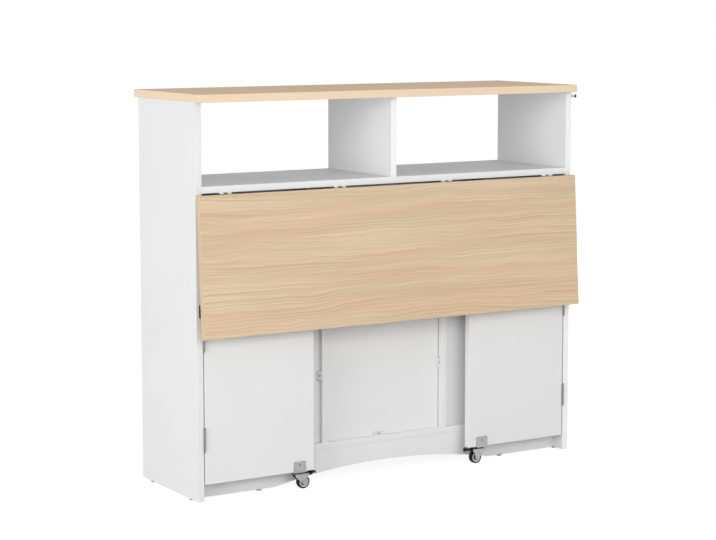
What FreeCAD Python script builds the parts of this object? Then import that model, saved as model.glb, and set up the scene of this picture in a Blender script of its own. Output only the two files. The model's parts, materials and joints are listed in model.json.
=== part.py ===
import FreeCAD, Part
import math
import os
import re
import Sketcher

# Kitchen cart with a drop leaf: millimetres, +Z up, floor at z = 0.
# The drop leaf and its two gates are on the -Y side, doors and drawer on the +Y side.

SIZES = {
    # cabinet
    "cab_width": 1038,
    "cab_depth": 290,
    "cart_height": 920,
    "top_thick": 18,
    "top_depth": 335,
    "side_thick": 16,
    "board_thick": 15,
    "arris": 0.5,
    "small_edge": 1,
    "cut_over": 1,
    "table_height": 715,
    "bottom_under": 78,
    "back_recess": 36,
    "divider_at": 167,
    "foot_high": 4,
    "foot_radius": 7,
    "foot_side_at": 100,
    "foot_apron_at": 340,
    # arched aprons
    "arch_half": 303,
    "arch_rise": 30,
    "arch_round": 60,
    "apron_setback": 1.5,
    # back panels
    "panel_thick": 5,
    "panel_inset": 12,
    "groove_deep": 5,
    "groove_play": 0.2,
    "clip_tall": 22,
    "clip_out": 8,
    "clip_deep": 9,
    "clip_slope": 5,
    "clip_height": 253,
    "clip_bottom_at": 17,
    # inner shelves and their pins
    "cupboard_shelf_at": 380,
    "centre_shelf_at": 300,
    "shelf_play": 1,
    "shelf_setback": 8,
    "pin_peg_radius": 2.5,
    "pin_peg_sunk": 6,
    "pin_peg_out": 8,
    "pin_peg_inset": 40,
    # drop leaf and its hinges; leaf_hang is the turn from level to hanging, in degrees
    "leaf_long": 320,
    "leaf_thick": 15,
    "leaf_gap": 2,
    "leaf_hang": 86.15,
    "leaf_hinge_inset": 58,
    "leaf_hinge_inner": 148,
    "leaf_hinge_long": 30,
    "leaf_barrel": 2.5,
    "leaf_plate_thick": 1.5,
    "leaf_plate_wide": 20,
    # gates that carry the raised leaf
    "gate_free_at": 218,
    "gate_thick": 18,
    "gate_under": 42,
    "gate_head_gap": 6,
    "rest_pad_long": 30,
    "rest_pad_wide": 14,
    "rest_pad_gap": 0.3,
    "gate_hinge_rise": 103,
    "gate_hinge_drop": 93,
    # butt hinges of gates and doors
    "hinge_long": 50,
    "hinge_gap": 3,
    "barrel_radius": 2.5,
    "barrel_out": 2.3,
    "plate_thick": 1.2,
    "plate_wide": 14,
    "pin_radius": 1.2,
    "pin_head": 2.2,
    "pin_head_thick": 1,
    "pin_tip": 0.8,
    "pin_tip_long": 3,
    "pin_play": 0.05,
    "knuckle_play": 0.15,
    "knuckle_clear": 0.3,
    # front doors, drawer and knobs
    "door_thick": 15,
    "door_gap": 2,
    "door_hinge_inset": 85,
    "knob_at": 40,
    "knob_drop": 80,
    "knob_out": 30,
    "knob_radius": 14,
    "knob_head": 12,
    "knob_rim": 4,
    "knob_foot": 8,
    "knob_hollow_at": 19.5,
    "knob_round": 1.5,
    "drawer_high": 150,
    "drawer_wall": 12,
    "drawer_side_high": 100,
    "drawer_deep": 205,
    "drawer_play": 1,
    "drawer_floor_thick": 4,
    "drawer_floor_up": 8,
    "drawer_floor_sunk": 5,
    "runner_high": 12,
    "runner_wide": 20,
    "runner_gap": 0.3,
    # towel rail on the right side panel
    "rail_standoff": 30,
    "rail_dia": 9,
    "rail_long": 244,
    "rail_post_at": 80,
    "rail_drop": 30,
    "post_radius": 4,
    "post_foot_radius": 10,
    "post_foot_thick": 3,
    "post_head_radius": 7,
    "post_head_long": 12,
    # casters under the gates
    "caster_at": 256,
    "bracket_wide": 31.5,
    "bracket_up": 24.5,
    "bracket_thick": 2,
    "bracket_slot_wide": 6,
    "bracket_slot_up": 9,
    "bracket_round": 3,
    "kingpin_radius": 3,
    "kingpin_head": 5,
    "kingpin_head_thick": 2,
    "wheel_trail": 13,
    "wheel_radius": 15.5,
    "wheel_wide": 12,
    "tyre_round": 2,
    "hub_radius": 11.5,
    "hub_dish_radius": 9.8,
    "hub_dish_deep": 1.5,
    "hub_boss_radius": 4.5,
    "axle_radius": 2.4,
    "axle_head": 4,
    "axle_head_thick": 1.2,
    "fork_clear": 1.2,
    "fork_thick": 1.5,
    "fork_drop": 4,
    "fork_back": 11,
    "fork_front": 25,
    "fork_lip": 5,
    "fork_boss": 5.4,
    "fork_hollow": 12,
    "fork_window": 17,
    "race_radius": 10.5,
    "race_gap": 0.3,
    "pedal_pivot_out": 21,
    "pedal_pivot_down": 3.5,
    "pedal_pin_radius": 1.5,
    "pedal_pin_head": 2.5,
    "pedal_boss": 3,
    "pedal_heel": 20,
    "pedal_dip": 3,
    "pedal_dip_at": 28,
    "pedal_bend": 6,
    "pedal_crest_at": 39.5,
    "pedal_curve": 12,
    "pedal_toe": 47,
    "pedal_wide": 16,
    "pedal_neck_wide": 11,
    "pedal_flare": 4,
    "pedal_lift": 0.4,
    "pedal_thick": 4.8,
    "pedal_hump": 3.4,
}

# Places that several pieces share, as expressions of the sizes.
SHIFT = "-(rail_standoff + post_head_radius) / 2"
HALF = "(cab_width / 2)"
INNER = "(cab_width / 2 - side_thick)"
BACK = "(-cab_depth / 2)"
FRONT = "(cab_depth / 2)"
FRAME = "(-cab_depth / 2 + back_recess)"
PANEL = "(-cab_depth / 2 + back_recess + panel_inset)"
PANEL_FACE = "(-cab_depth / 2 + back_recess + panel_inset + panel_thick)"
TOP_UNDER = "(cart_height - top_thick)"
SHELF_UNDER = "(table_height - board_thick)"
FLOOR_TOP = "(bottom_under + board_thick)"
DIVIDER_OUT = "(divider_at + board_thick / 2)"
DIVIDER_IN = "(divider_at - board_thick / 2)"
LEAF_PIVOT_Y = "(-cab_depth / 2 - leaf_gap / 2)"
LEAF_PIVOT_Z = "(table_height - board_thick - leaf_barrel)"
GATE_TOP = "(table_height - board_thick - gate_head_gap)"
HINGE_AT = "(cab_width / 2 - side_thick - hinge_gap / 2)"
DOOR_EDGE = "(cab_width / 2 - side_thick - hinge_gap)"
SWIVEL_Y = "(-cab_depth / 2 + gate_thick / 2)"
BRACKET_UNDER = "(gate_under - bracket_thick)"
FORK_TOP = "(gate_under - bracket_thick - fork_drop)"
FORK_HALF = "(wheel_wide / 2 + fork_clear + fork_thick)"
PEDAL_HEEL_Z = "(gate_under - bracket_thick - fork_drop + pedal_lift)"
PEDAL_PIVOT_Z = "(gate_under - bracket_thick - fork_drop - pedal_pivot_down)"
DRAWER_TOP = "(table_height - board_thick - door_gap)"
DRAWER_LOW = "(table_height - board_thick - door_gap - drawer_high)"
DECK_TOP = "(table_height - board_thick - 2 * door_gap - drawer_high)"
WRAP_LOW = "(table_height - board_thick - 2 * door_gap - drawer_high + runner_high + runner_gap)"
WRAP_HALF = "(divider_at - board_thick / 2 - drawer_play)"
DRAWER_BACK = "(cab_depth / 2 - door_thick - drawer_deep)"
RAIL_Z = "(cart_height - rail_drop)"
GATE_HINGES = ["(gate_under + gate_hinge_rise)", f"({GATE_TOP} - gate_hinge_drop)"]
GATE_HINGES.append(f"(({GATE_HINGES[0]} + {GATE_HINGES[1]}) / 2)")

AXIS_X = FreeCAD.Vector(1, 0, 0)
AXIS_Y = FreeCAD.Vector(0, 1, 0)
AXIS_Z = FreeCAD.Vector(0, 0, 1)
NO_TURN = FreeCAD.Rotation()
FLIP_X = FreeCAD.Rotation(AXIS_X, 180)
FLIP_Y = FreeCAD.Rotation(AXIS_Y, 180)
FLIP_Z = FreeCAD.Rotation(AXIS_Z, 180)
TURNS = {"X": FreeCAD.Rotation(AXIS_Y, 90), "Y": FreeCAD.Rotation(AXIS_X, -90), "Z": NO_TURN}
SIDES = {"left": -1, "right": 1}
WORD = re.compile(r"[a-z_]+")

doc = FreeCAD.newDocument("KitchenCart")
sheet = doc.addObject("Spreadsheet::Sheet", "Sizes")
for row, (name, value) in enumerate(SIZES.items(), start=1):
    sheet.set(f"A{row}", name)
    sheet.set(f"B{row}", str(value))
    sheet.setAlias(f"B{row}", name)
doc.recompute()

nodes = []


def linked(text):
    """Turn each size named in an expression into a reference to its cell."""
    return WORD.sub(lambda found: ("Sizes." if found.group() in SIZES else "") + found.group(), text)


def bind(item, **expressions):
    """Bind properties to expressions of the sizes."""
    for prop, text in expressions.items():
        item.setExpression(prop, linked(text))


def place(item, spot, turn=NO_TURN, shift=""):
    """Put an item at a spot given as three expressions, turned about that spot."""
    item.Placement = FreeCAD.Placement(FreeCAD.Vector(), turn)
    for axis, text in zip("xyz", spot):
        moved = f"{shift} + ({text})" if shift and axis == "x" else text
        item.setExpression(f"Placement.Base.{axis}", linked(moved))


def part_body(label, spot=("0", "0", "0"), turn=NO_TURN, keep=True):
    """Start a body that is one piece of the cart, or a pattern piece that is copied."""
    body = doc.addObject("PartDesign::Body", label)
    body.Label = label
    place(body, spot, turn, SHIFT if keep else "")
    if keep:
        nodes.append(body)
    return body


def block(body, kind, name, x, y, z):
    """Add or take away a block between low and high expressions."""
    item = body.newObject(f"PartDesign::{kind}Box", name)
    bind(item, Length=f"({x[1]}) - ({x[0]})", Width=f"({y[1]}) - ({y[0]})", Height=f"({z[1]}) - ({z[0]})")
    place(item, (x[0], y[0], z[0]))
    return item


def rod(body, kind, name, along, spot, radius, length):
    """Add or take away a cylinder that starts at a spot and runs along one axis."""
    item = body.newObject(f"PartDesign::{kind}Cylinder", name)
    bind(item, Radius=radius, Height=length)
    place(item, spot, TURNS[along])
    return item


def ease(body, kind, name, size, wanted=None):
    """Chamfer or fillet the edges that a test picks, or all of them."""
    doc.recompute()
    base = body.Tip
    picked = [""]
    if wanted:
        picked = [f"Edge{i}" for i, edge in enumerate(base.Shape.Edges, start=1) if wanted(edge)]
    item = body.newObject(f"PartDesign::{kind}", name)
    item.Base = (base, picked)
    item.UseAllEdges = wanted is None
    bind(item, **{"Size" if kind == "Chamfer" else "Radius": size})
    return item


def flat_sketch(body, name, role):
    """Start a sketch on one of a body's own origin planes."""
    sketch = body.newObject("Sketcher::SketchObject", name)
    plane = [item for item in body.Origin.OriginFeatures if item.Role == role][0]
    sketch.AttachmentSupport = [(plane, "")]
    sketch.MapMode = "FlatFace"
    return sketch


def rule(sketch, *terms):
    """Add geometric constraints, each given as its kind and what it ties together."""
    for term in terms:
        sketch.addConstraint(Sketcher.Constraint(*term))


def measure(sketch, *terms):
    """Add dimensions, each given as its constraint and the expression that drives it."""
    for term, text in terms:
        now = sketch.evalExpression(linked(text))
        index = sketch.addConstraint(Sketcher.Constraint(*term, float(getattr(now, "Value", now))))
        sketch.setExpression(f"Constraints[{index}]", linked(text))


class Board:
    """A rectangular board whose corners are expressions of the sizes."""

    def __init__(self, label, x, y, z):
        self.low = (x[0], y[0], z[0])
        self.body = part_body(label, self.low)
        zero = [("0", f"({high}) - ({low})") for low, high in (x, y, z)]
        block(self.body, "Additive", f"{label}_blank", *zero)
        ease(self.body, "Chamfer", f"{label}_arris", "arris")

    def local(self, span, axis):
        """Give a span along an axis from the board's own corner."""
        return tuple(f"({text}) - ({self.low[axis]})" for text in span)

    def cut(self, name, x, y, z):
        """Cut a groove, notch or slot."""
        block(self.body, "Subtractive", name, self.local(x, 0), self.local(y, 1), self.local(z, 2))

    def bore(self, name, x, y, z, radius):
        """Bore a round hole along X between two expressions."""
        start, end = self.local(x, 0)
        spot = (start, self.local((y,), 1)[0], self.local((z,), 2)[0])
        rod(self.body, "Subtractive", name, "X", spot, radius, f"({end}) - ({start})")


def copies(label, pattern, spots):
    """Make one node of separate copies of a pattern piece."""
    links = []
    for i, (spot, turn) in enumerate(spots):
        link = doc.addObject("App::Link", f"{label}_{i}")
        link.LinkedObject = pattern
        place(link, spot, turn, SHIFT)
        links.append(link)
    group = doc.addObject("Part::Compound", label)
    group.Label = label
    group.Links = links
    nodes.append(group)


def side_span(sign, inner, outer):
    """Give the low and high X of something between two distances from the centre."""
    return (f"-({outer})", f"-({inner})") if sign < 0 else (inner, outer)


# Carcass boards
GROOVE_Y = (f"{PANEL} - groove_play", f"{PANEL_FACE} + groove_play")
GROOVE_Z = (f"{FLOOR_TOP} - groove_deep - groove_play", f"{SHELF_UNDER} + groove_deep + groove_play")
PEG_ROWS = {
    "rear": f"({PANEL_FACE} + pin_peg_inset)",
    "front": f"({FRONT} - door_thick - pin_peg_inset)",
}
PEG_DROP = {
    "cupboard": "(cupboard_shelf_at - pin_peg_radius)",
    "centre": "(centre_shelf_at - pin_peg_radius)",
}
PEG_HOLE = "pin_peg_radius + pin_play"


def peg_holes(board, level, x):
    """Bore the two holes for shelf pegs on one face of a board."""
    for row, y in PEG_ROWS.items():
        board.bore(f"{board.body.Label}_{level}_{row}_hole", x, y, PEG_DROP[level], PEG_HOLE)


def carcass():
    """Build the boards that make the cabinet."""
    full_depth = (BACK, FRONT)
    Board("top_panel", (f"-{HALF}", HALF), ("-top_depth / 2", "top_depth / 2"), (TOP_UNDER, "cart_height"))
    for side, sign in SIDES.items():
        wall = side_span(sign, INNER, HALF)
        panel = Board(f"side_panel_{side}", wall, full_depth, ("foot_high", TOP_UNDER))
        groove = side_span(sign, INNER, f"{INNER} + groove_deep + groove_play")
        panel.cut(f"side_panel_{side}_groove", groove, GROOVE_Y, GROOVE_Z)
        peg_holes(panel, "cupboard", side_span(sign, INNER, f"{INNER} + pin_peg_sunk + groove_play"))

    shelf = Board("table_shelf", (f"-{INNER}", INNER), full_depth, (SHELF_UNDER, "table_height"))
    shelf.cut("table_shelf_groove", (f"-{INNER}", INNER), GROOVE_Y, (SHELF_UNDER, GROOVE_Z[1]))
    Board("upper_divider", ("-board_thick / 2", "board_thick / 2"), full_depth, ("table_height", TOP_UNDER))

    for side, sign in SIDES.items():
        span = side_span(sign, DIVIDER_IN, DIVIDER_OUT)
        divider = Board(f"lower_divider_{side}", span, (FRAME, FRONT), (FLOOR_TOP, SHELF_UNDER))
        outer = side_span(sign, f"{DIVIDER_OUT} - groove_deep - groove_play", DIVIDER_OUT)
        inner = side_span(sign, DIVIDER_IN, f"{DIVIDER_IN} + groove_deep + groove_play")
        divider.cut(f"lower_divider_{side}_outer_groove", outer, GROOVE_Y, (FLOOR_TOP, SHELF_UNDER))
        divider.cut(f"lower_divider_{side}_inner_groove", inner, GROOVE_Y, (FLOOR_TOP, SHELF_UNDER))
        sunk_out = side_span(sign, f"{DIVIDER_OUT} - pin_peg_sunk - groove_play", DIVIDER_OUT)
        sunk_in = side_span(sign, DIVIDER_IN, f"{DIVIDER_IN} + pin_peg_sunk + groove_play")
        peg_holes(divider, "cupboard", sunk_out)
        peg_holes(divider, "centre", sunk_in)

    bottom = Board("bottom_panel", (f"-{INNER}", INNER), (FRAME, FRONT), ("bottom_under", FLOOR_TOP))
    bottom.cut("bottom_panel_groove", (f"-{INNER}", INNER), GROOVE_Y, (GROOVE_Z[0], FLOOR_TOP))


def apron(label, y):
    """Build a board under the cabinet whose lower edge is a shallow arch between two feet."""
    board = Board(label, (f"-{INNER}", INNER), y, ("foot_high", "bottom_under"))
    radius = "(arch_half ^ 2 + arch_rise ^ 2) / (2 * arch_rise)"
    spot = (INNER, "-board_thick", f"arch_rise - {radius}")
    rod(board.body, "Subtractive", f"{label}_arch", "Y", spot, radius, "3 * board_thick")

    def ends_the_arch(edge):
        """Tell the two edges where the arch meets the straight feet."""
        lowest = max(abs(point.z) for point in (edge.Vertexes[0].Point, edge.Vertexes[-1].Point)) < 1e-3
        middle = edge.CenterOfMass.x - size_of("cab_width") / 2 + size_of("side_thick")
        return lowest and abs(abs(middle) - size_of("arch_half")) < 1

    ease(board.body, "Fillet", f"{label}_sweep", "arch_round", ends_the_arch)


def size_of(name):
    """Read a size from the sheet."""
    return float(sheet.get(name))


def back_panels():
    """Build the thin back panels in their grooves and the clips that press them home."""
    z = (f"{FLOOR_TOP} - groove_deep", f"{SHELF_UNDER} + groove_deep")
    for side, sign in SIDES.items():
        span = side_span(sign, f"{DIVIDER_OUT} - groove_deep", f"{INNER} + groove_deep")
        Board(f"back_panel_{side}", span, (PANEL, PANEL_FACE), z)
    centre = f"({DIVIDER_IN} + groove_deep)"
    Board("back_panel_centre", (f"-{centre}", centre), (PANEL, PANEL_FACE), z)

    clip = part_body("clip_pattern", keep=False)
    tall = ("-clip_tall / 2", "clip_tall / 2")
    block(clip, "Additive", "clip_block", ("-clip_out", "0"), ("-clip_deep", "0"), tall)

    def outer_corner(edge):
        """Tell the free corner of the clip."""
        middle = edge.CenterOfMass
        return middle.x < -0.9 * size_of("clip_out") and middle.y < -0.9 * size_of("clip_deep")

    ease(clip, "Chamfer", "clip_slope_face", "clip_slope", outer_corner)
    spots = [
        ((f"-{DIVIDER_OUT}", PANEL, "clip_height"), NO_TURN),
        ((DIVIDER_IN, PANEL, "clip_height"), NO_TURN),
        (("-clip_bottom_at", PANEL, FLOOR_TOP), FreeCAD.Rotation(AXIS_Y, 90)),
    ]
    copies("back_panel_clips", clip, spots)


def feet():
    """Build the nail-on glides under the side panels and aprons."""
    glide = part_body("glide_pattern", keep=False)
    rod(glide, "Additive", "glide_disc", "Z", ("0", "0", "0"), "foot_radius", "foot_high")
    ease(glide, "Chamfer", "glide_edge", "small_edge", lambda edge: edge.BoundBox.ZMax < 1e-6)
    spots = []
    for sign in ("-", ""):
        for end in ("-", ""):
            spots.append(((f"{sign}({HALF} - side_thick / 2)", f"{end}foot_side_at", "0"), NO_TURN))
        for y in (f"{FRAME} + apron_setback + board_thick / 2", f"{FRONT} - apron_setback - board_thick / 2"):
            spots.append(((f"{sign}foot_apron_at", y, "0"), NO_TURN))
    copies("glide_feet", glide, spots)


def inner_shelves():
    """Build the adjustable shelves and the pegs that they lie on."""
    depth = (f"{PANEL_FACE} + shelf_play", f"{FRONT} - door_thick - shelf_setback")
    for side, sign in SIDES.items():
        span = side_span(sign, f"{DIVIDER_OUT} + shelf_play", f"{INNER} - shelf_play")
        Board(f"cupboard_shelf_{side}", span, depth, ("cupboard_shelf_at", "cupboard_shelf_at + board_thick"))
    half = f"({DIVIDER_IN} - shelf_play)"
    Board("centre_shelf", (f"-{half}", half), depth, ("centre_shelf_at", "centre_shelf_at + board_thick"))
    deck = (f"{DECK_TOP} - board_thick", DECK_TOP)
    Board("drawer_deck", (f"-{DIVIDER_IN}", DIVIDER_IN), (PANEL_FACE, FRONT), deck)

    peg = part_body("peg_pattern", keep=False)
    start = ("-pin_peg_sunk", "0", "0")
    rod(peg, "Additive", "peg_pin", "X", start, "pin_peg_radius", "pin_peg_sunk + pin_peg_out")
    spots = []
    for y in PEG_ROWS.values():
        for mark, inward, outward in (("-", NO_TURN, FLIP_Z), ("", FLIP_Z, NO_TURN)):
            spots.append(((f"{mark}{INNER}", y, PEG_DROP["cupboard"]), inward))
            spots.append(((f"{mark}{DIVIDER_OUT}", y, PEG_DROP["cupboard"]), outward))
            spots.append(((f"{mark}{DIVIDER_IN}", y, PEG_DROP["centre"]), inward))
    copies("shelf_pegs", peg, spots)


# Hinges: a plate with knuckles round a pin, along Z, plate on the +Y side of the pin
def hinge_half(label, offset, thick, wide, long, radius, middle):
    """Build half a hinge: its middle knuckle, or the two knuckles beside the middle one."""
    half = part_body(label, keep=False)
    third = f"({long} / 3)"
    ends = (f"-{long} / 2", f"{long} / 2")
    block(half, "Additive", f"{label}_plate", (offset, f"{offset} + {thick}"), ("0", wide), ends)
    if middle:
        own = [(f"-{third} / 2 + knuckle_play", f"{third} / 2 - knuckle_play")]
        other = [(ends[0], own[0][0]), (own[0][1], ends[1])]
    else:
        own = [(ends[0], f"-{third} / 2 - knuckle_play"), (f"{third} / 2 + knuckle_play", ends[1])]
        other = [(own[0][1], own[1][0])]
    reach = f"({radius} + knuckle_clear)"
    for i, z in enumerate(other):
        block(half, "Subtractive", f"{label}_notch_{i}", (f"-{reach}", reach), (f"-{reach}", reach), z)
    for i, (low, high) in enumerate(own):
        spot = ("0", "0", low)
        rod(half, "Additive", f"{label}_knuckle_{i}", "Z", spot, radius, f"({high}) - ({low})")
    rod(half, "Subtractive", f"{label}_eye", "Z", ("0", "0", ends[0]), "pin_radius + pin_play", long)
    return half


def hinge_pin(label, long):
    """Build a hinge pin with a head and a tapered tip at each end."""
    pin = part_body(label, keep=False)
    rod(pin, "Additive", f"{label}_shank", "Z", ("0", "0", f"-{long} / 2"), "pin_radius", long)
    reach = f"({long} / 2 + pin_head_thick)"
    ends = (("low", f"-{reach}", f"-{reach}", FLIP_X), ("high", f"{long} / 2", reach, NO_TURN))
    for end, head, tip, turn in ends:
        rod(pin, "Additive", f"{label}_{end}_head", "Z", ("0", "0", head), "pin_head", "pin_head_thick")
        cone = pin.newObject("PartDesign::AdditiveCone", f"{label}_{end}_tip")
        bind(cone, Radius1="pin_head", Radius2="pin_tip", Height="pin_tip_long")
        place(cone, ("0", "0", tip), turn)
    return pin


def gate_and_door_hinges():
    """Build the butt hinges on the side panels, for the gates behind and the doors in front."""
    plate = ("hinge_gap / 2 - plate_thick", "plate_thick", "plate_wide", "hinge_long", "barrel_radius")
    mirrored = ("-hinge_gap / 2", "plate_thick", "plate_wide", "hinge_long", "barrel_radius")
    fixed = hinge_half("butt_fixed_pattern", *plate, middle=False)
    moving = hinge_half("butt_moving_pattern", *mirrored, middle=True)
    pin = hinge_pin("butt_pin_pattern", "hinge_long")
    door_levels = (f"{FLOOR_TOP} + door_hinge_inset", f"{SHELF_UNDER} - door_hinge_inset")
    gates = []
    doors = {}
    for side, sign in SIDES.items():
        x = HINGE_AT if sign > 0 else f"-{HINGE_AT}"
        gate_turn = NO_TURN if sign > 0 else FLIP_Y
        door_turn = FLIP_X if sign > 0 else FLIP_Z
        gates += [((x, f"{BACK} - barrel_out", z), gate_turn) for z in GATE_HINGES]
        doors[side] = [((x, f"{FRONT} + barrel_out", z), door_turn) for z in door_levels]
    copies("gate_hinge_fixed_leaves", fixed, gates)
    copies("gate_hinge_gate_leaves", moving, gates)
    copies("gate_hinge_pins", pin, gates)
    copies("door_hinge_fixed_leaves", fixed, doors["left"] + doors["right"])
    copies("door_hinge_pins", pin, doors["left"] + doors["right"])
    for side in SIDES:
        copies(f"door_hinge_leaves_{side}", moving, doors[side])


def leaf_hinges():
    """Build the leaf's hinges: one plate under the shelf, the other on the leaf's inner face."""
    sizes = ("leaf_plate_thick", "leaf_plate_wide", "leaf_hinge_long", "leaf_barrel")
    offset = "leaf_barrel - leaf_plate_thick"
    fixed = hinge_half("leaf_fixed_pattern", offset, *sizes, middle=False)
    moving = hinge_half("leaf_moving_pattern", offset, *sizes, middle=True)
    pin = hinge_pin("leaf_pin_pattern", "leaf_hinge_long")
    under_shelf = FreeCAD.Rotation(AXIS_Z, AXIS_Y, -AXIS_X, "XYZ")
    under_leaf = FreeCAD.Rotation(AXIS_Z, -AXIS_Y, AXIS_X, "XYZ")
    hung = FreeCAD.Rotation(AXIS_X, size_of("leaf_hang")).multiply(under_leaf)
    spots = []
    for sign in ("-", ""):
        for at in (f"({INNER} - leaf_hinge_inset)", "leaf_hinge_inner"):
            spots.append((f"{sign}{at}", LEAF_PIVOT_Y, LEAF_PIVOT_Z))
    copies("leaf_hinge_shelf_plates", fixed, [(spot, under_shelf) for spot in spots])
    copies("leaf_hinge_leaf_plates", moving, [(spot, hung) for spot in spots])
    copies("leaf_hinge_pins", pin, [(spot, under_shelf) for spot in spots])


def drop_leaf():
    """Build the leaf about its hinge line, hung from level down to its stop."""
    hung = FreeCAD.Rotation(AXIS_X, size_of("leaf_hang"))
    leaf = part_body("drop_leaf", ("0", LEAF_PIVOT_Y, LEAF_PIVOT_Z), hung)
    leaf.setExpression("Placement.Rotation.Angle", linked("leaf_hang"))
    y = ("-leaf_gap / 2 - leaf_long", "-leaf_gap / 2")
    z = ("leaf_barrel", "leaf_barrel + leaf_thick")
    block(leaf, "Additive", "drop_leaf_blank", (f"-{HALF}", HALF), y, z)
    ease(leaf, "Chamfer", "drop_leaf_arris", "arris")


def gates():
    """Build the two swinging gates and the pads on which the raised leaf rests."""
    for side, sign in SIDES.items():
        span = side_span(sign, "gate_free_at", DOOR_EDGE)
        Board(f"gate_{side}", span, (BACK, f"{BACK} + gate_thick"), ("gate_under", GATE_TOP))
    pad = part_body("pad_pattern", keep=False)
    long = ("-rest_pad_long / 2", "rest_pad_long / 2")
    wide = ("-rest_pad_wide / 2", "rest_pad_wide / 2")
    block(pad, "Additive", "pad_block", long, wide, ("0", "gate_head_gap - rest_pad_gap"))
    ease(pad, "Chamfer", "pad_edge", "small_edge", lambda edge: edge.BoundBox.ZMin > size_of("rest_pad_gap"))
    spots = [((f"{sign}(gate_free_at + rest_pad_long)", SWIVEL_Y, GATE_TOP), NO_TURN) for sign in ("-", "")]
    copies("gate_rest_pads", pad, spots)


def knob(label, x, z):
    """Build a turned knob on a front face: a waisted neck under a domed head."""
    body = part_body(label, (x, FRONT, z))
    sketch = flat_sketch(body, f"{label}_profile", "XY_Plane")
    draw_knob(sketch)
    turned = body.newObject("PartDesign::Revolution", f"{label}_turned")
    turned.Profile = sketch
    turned.ReferenceAxis = (sketch, ["V_Axis"])
    turned.Angle = 360

    def on_the_rim(edge):
        """Tell the two rims of the head."""
        return edge.BoundBox.XLength > 1.9 * size_of("knob_radius") and edge.BoundBox.YLength < 1e-6

    ease(body, "Fillet", f"{label}_round", "knob_round", on_the_rim)


def draw_knob(sketch):
    """Draw half of a knob's section, X from its axis and Y out from the front face."""
    flat = FreeCAD.Vector
    radius, out, foot = size_of("knob_radius"), size_of("knob_out"), size_of("knob_foot")
    under = out - size_of("knob_head")
    rim = under + size_of("knob_rim")
    rise = out - rim
    dome = (radius ** 2 + rise ** 2) / (2 * rise)
    hollow = size_of("knob_hollow_at")
    middle = under / 2 - (hollow - (foot + radius) / 2) * (radius - foot) / under
    inmost = flat(hollow - math.hypot(hollow - foot, middle), middle)
    tilt = math.asin(radius / dome) / 2
    shoulder = flat(dome * math.sin(tilt), out - dome + dome * math.cos(tilt))
    sketch.addGeometry(Part.LineSegment(flat(0, 0), flat(foot, 0)))
    sketch.addGeometry(Part.Arc(flat(radius, under), inmost, flat(foot, 0)))
    sketch.addGeometry(Part.LineSegment(flat(radius, under), flat(radius, rim)))
    sketch.addGeometry(Part.Arc(flat(radius, rim), shoulder, flat(0, out)))
    sketch.addGeometry(Part.LineSegment(flat(0, out), flat(0, 0)))
    rule(
        sketch, ("Coincident", 0, 1, -1, 1), ("Horizontal", 0), ("Coincident", 0, 2, 1, 2),
        ("Coincident", 1, 1, 2, 1), ("Vertical", 2), ("Coincident", 2, 2, 3, 1), ("Coincident", 3, 2, 4, 1),
        ("Coincident", 4, 2, -1, 1), ("Vertical", 4), ("PointOnObject", 3, 3, -2),
    )
    measure(
        sketch, (("DistanceX", 0, 1, 0, 2), "knob_foot"), (("DistanceX", -1, 1, 2, 1), "knob_radius"),
        (("DistanceY", -1, 1, 2, 1), "knob_out - knob_head"), (("DistanceY", 2, 1, 2, 2), "knob_rim"),
        (("DistanceY", 4, 2, 4, 1), "knob_out"), (("DistanceX", -1, 1, 1, 3), "knob_hollow_at"),
    )


def doors():
    """Build the two front doors between the side panels and the dividers."""
    for side, sign in SIDES.items():
        span = side_span(sign, f"{DIVIDER_OUT} + door_gap", DOOR_EDGE)
        z = (f"{FLOOR_TOP} + door_gap", f"{SHELF_UNDER} - door_gap")
        Board(f"door_{side}", span, (f"{FRONT} - door_thick", FRONT), z)
        x = f"({DIVIDER_OUT} + door_gap + knob_at)"
        knob(f"door_knob_{side}", f"-{x}" if sign < 0 else x, f"{SHELF_UNDER} - door_gap - knob_drop")


def drawer():
    """Build the drawer: front, folded wrap, floor and knob, and the runners under it."""
    half = f"({DIVIDER_IN} - door_gap)"
    Board("drawer_front", (f"-{half}", half), (f"{FRONT} - door_thick", FRONT), (DRAWER_LOW, DRAWER_TOP))
    depth = (DRAWER_BACK, f"{FRONT} - door_thick")
    high = f"({WRAP_LOW} + drawer_side_high)"
    wrap = Board("drawer_wrap", (f"-{WRAP_HALF}", WRAP_HALF), depth, (WRAP_LOW, high))
    inside = f"({WRAP_HALF} - drawer_wall)"
    open_deep = (f"{DRAWER_BACK} + drawer_wall", FRONT)
    open_tall = (f"{WRAP_LOW} - cut_over", f"{high} + cut_over")
    wrap.cut("drawer_wrap_inside", (f"-{inside}", inside), open_deep, open_tall)
    floor_half = f"({inside} + drawer_floor_sunk)"
    floor_back = f"{DRAWER_BACK} + drawer_wall - drawer_floor_sunk"
    floor_z = (f"{WRAP_LOW} + drawer_floor_up", f"{WRAP_LOW} + drawer_floor_up + drawer_floor_thick")
    slot_half = f"({floor_half} + groove_play)"
    slot_z = (f"{floor_z[0]} - groove_play", f"{floor_z[1]} + groove_play")
    slot_deep = (f"{floor_back} - groove_play", FRONT)
    wrap.cut("drawer_wrap_groove", (f"-{slot_half}", slot_half), slot_deep, slot_z)
    Board("drawer_floor", (f"-{floor_half}", floor_half), (floor_back, depth[1]), floor_z)
    knob("drawer_knob", "0", f"{DRAWER_LOW} + drawer_high / 2")
    runner = part_body("runner_pattern", keep=False)
    long = (f"{DRAWER_BACK}", f"{FRONT} - door_thick - shelf_setback")
    block(runner, "Additive", "runner_strip", ("-runner_wide", "0"), long, ("0", "runner_high"))
    ease(runner, "Chamfer", "runner_arris", "arris")
    ends = (DIVIDER_IN, f"-{DIVIDER_IN} + runner_wide")
    spots = [((x, "0", DECK_TOP), NO_TURN) for x in ends]
    copies("drawer_runners", runner, spots)


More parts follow.
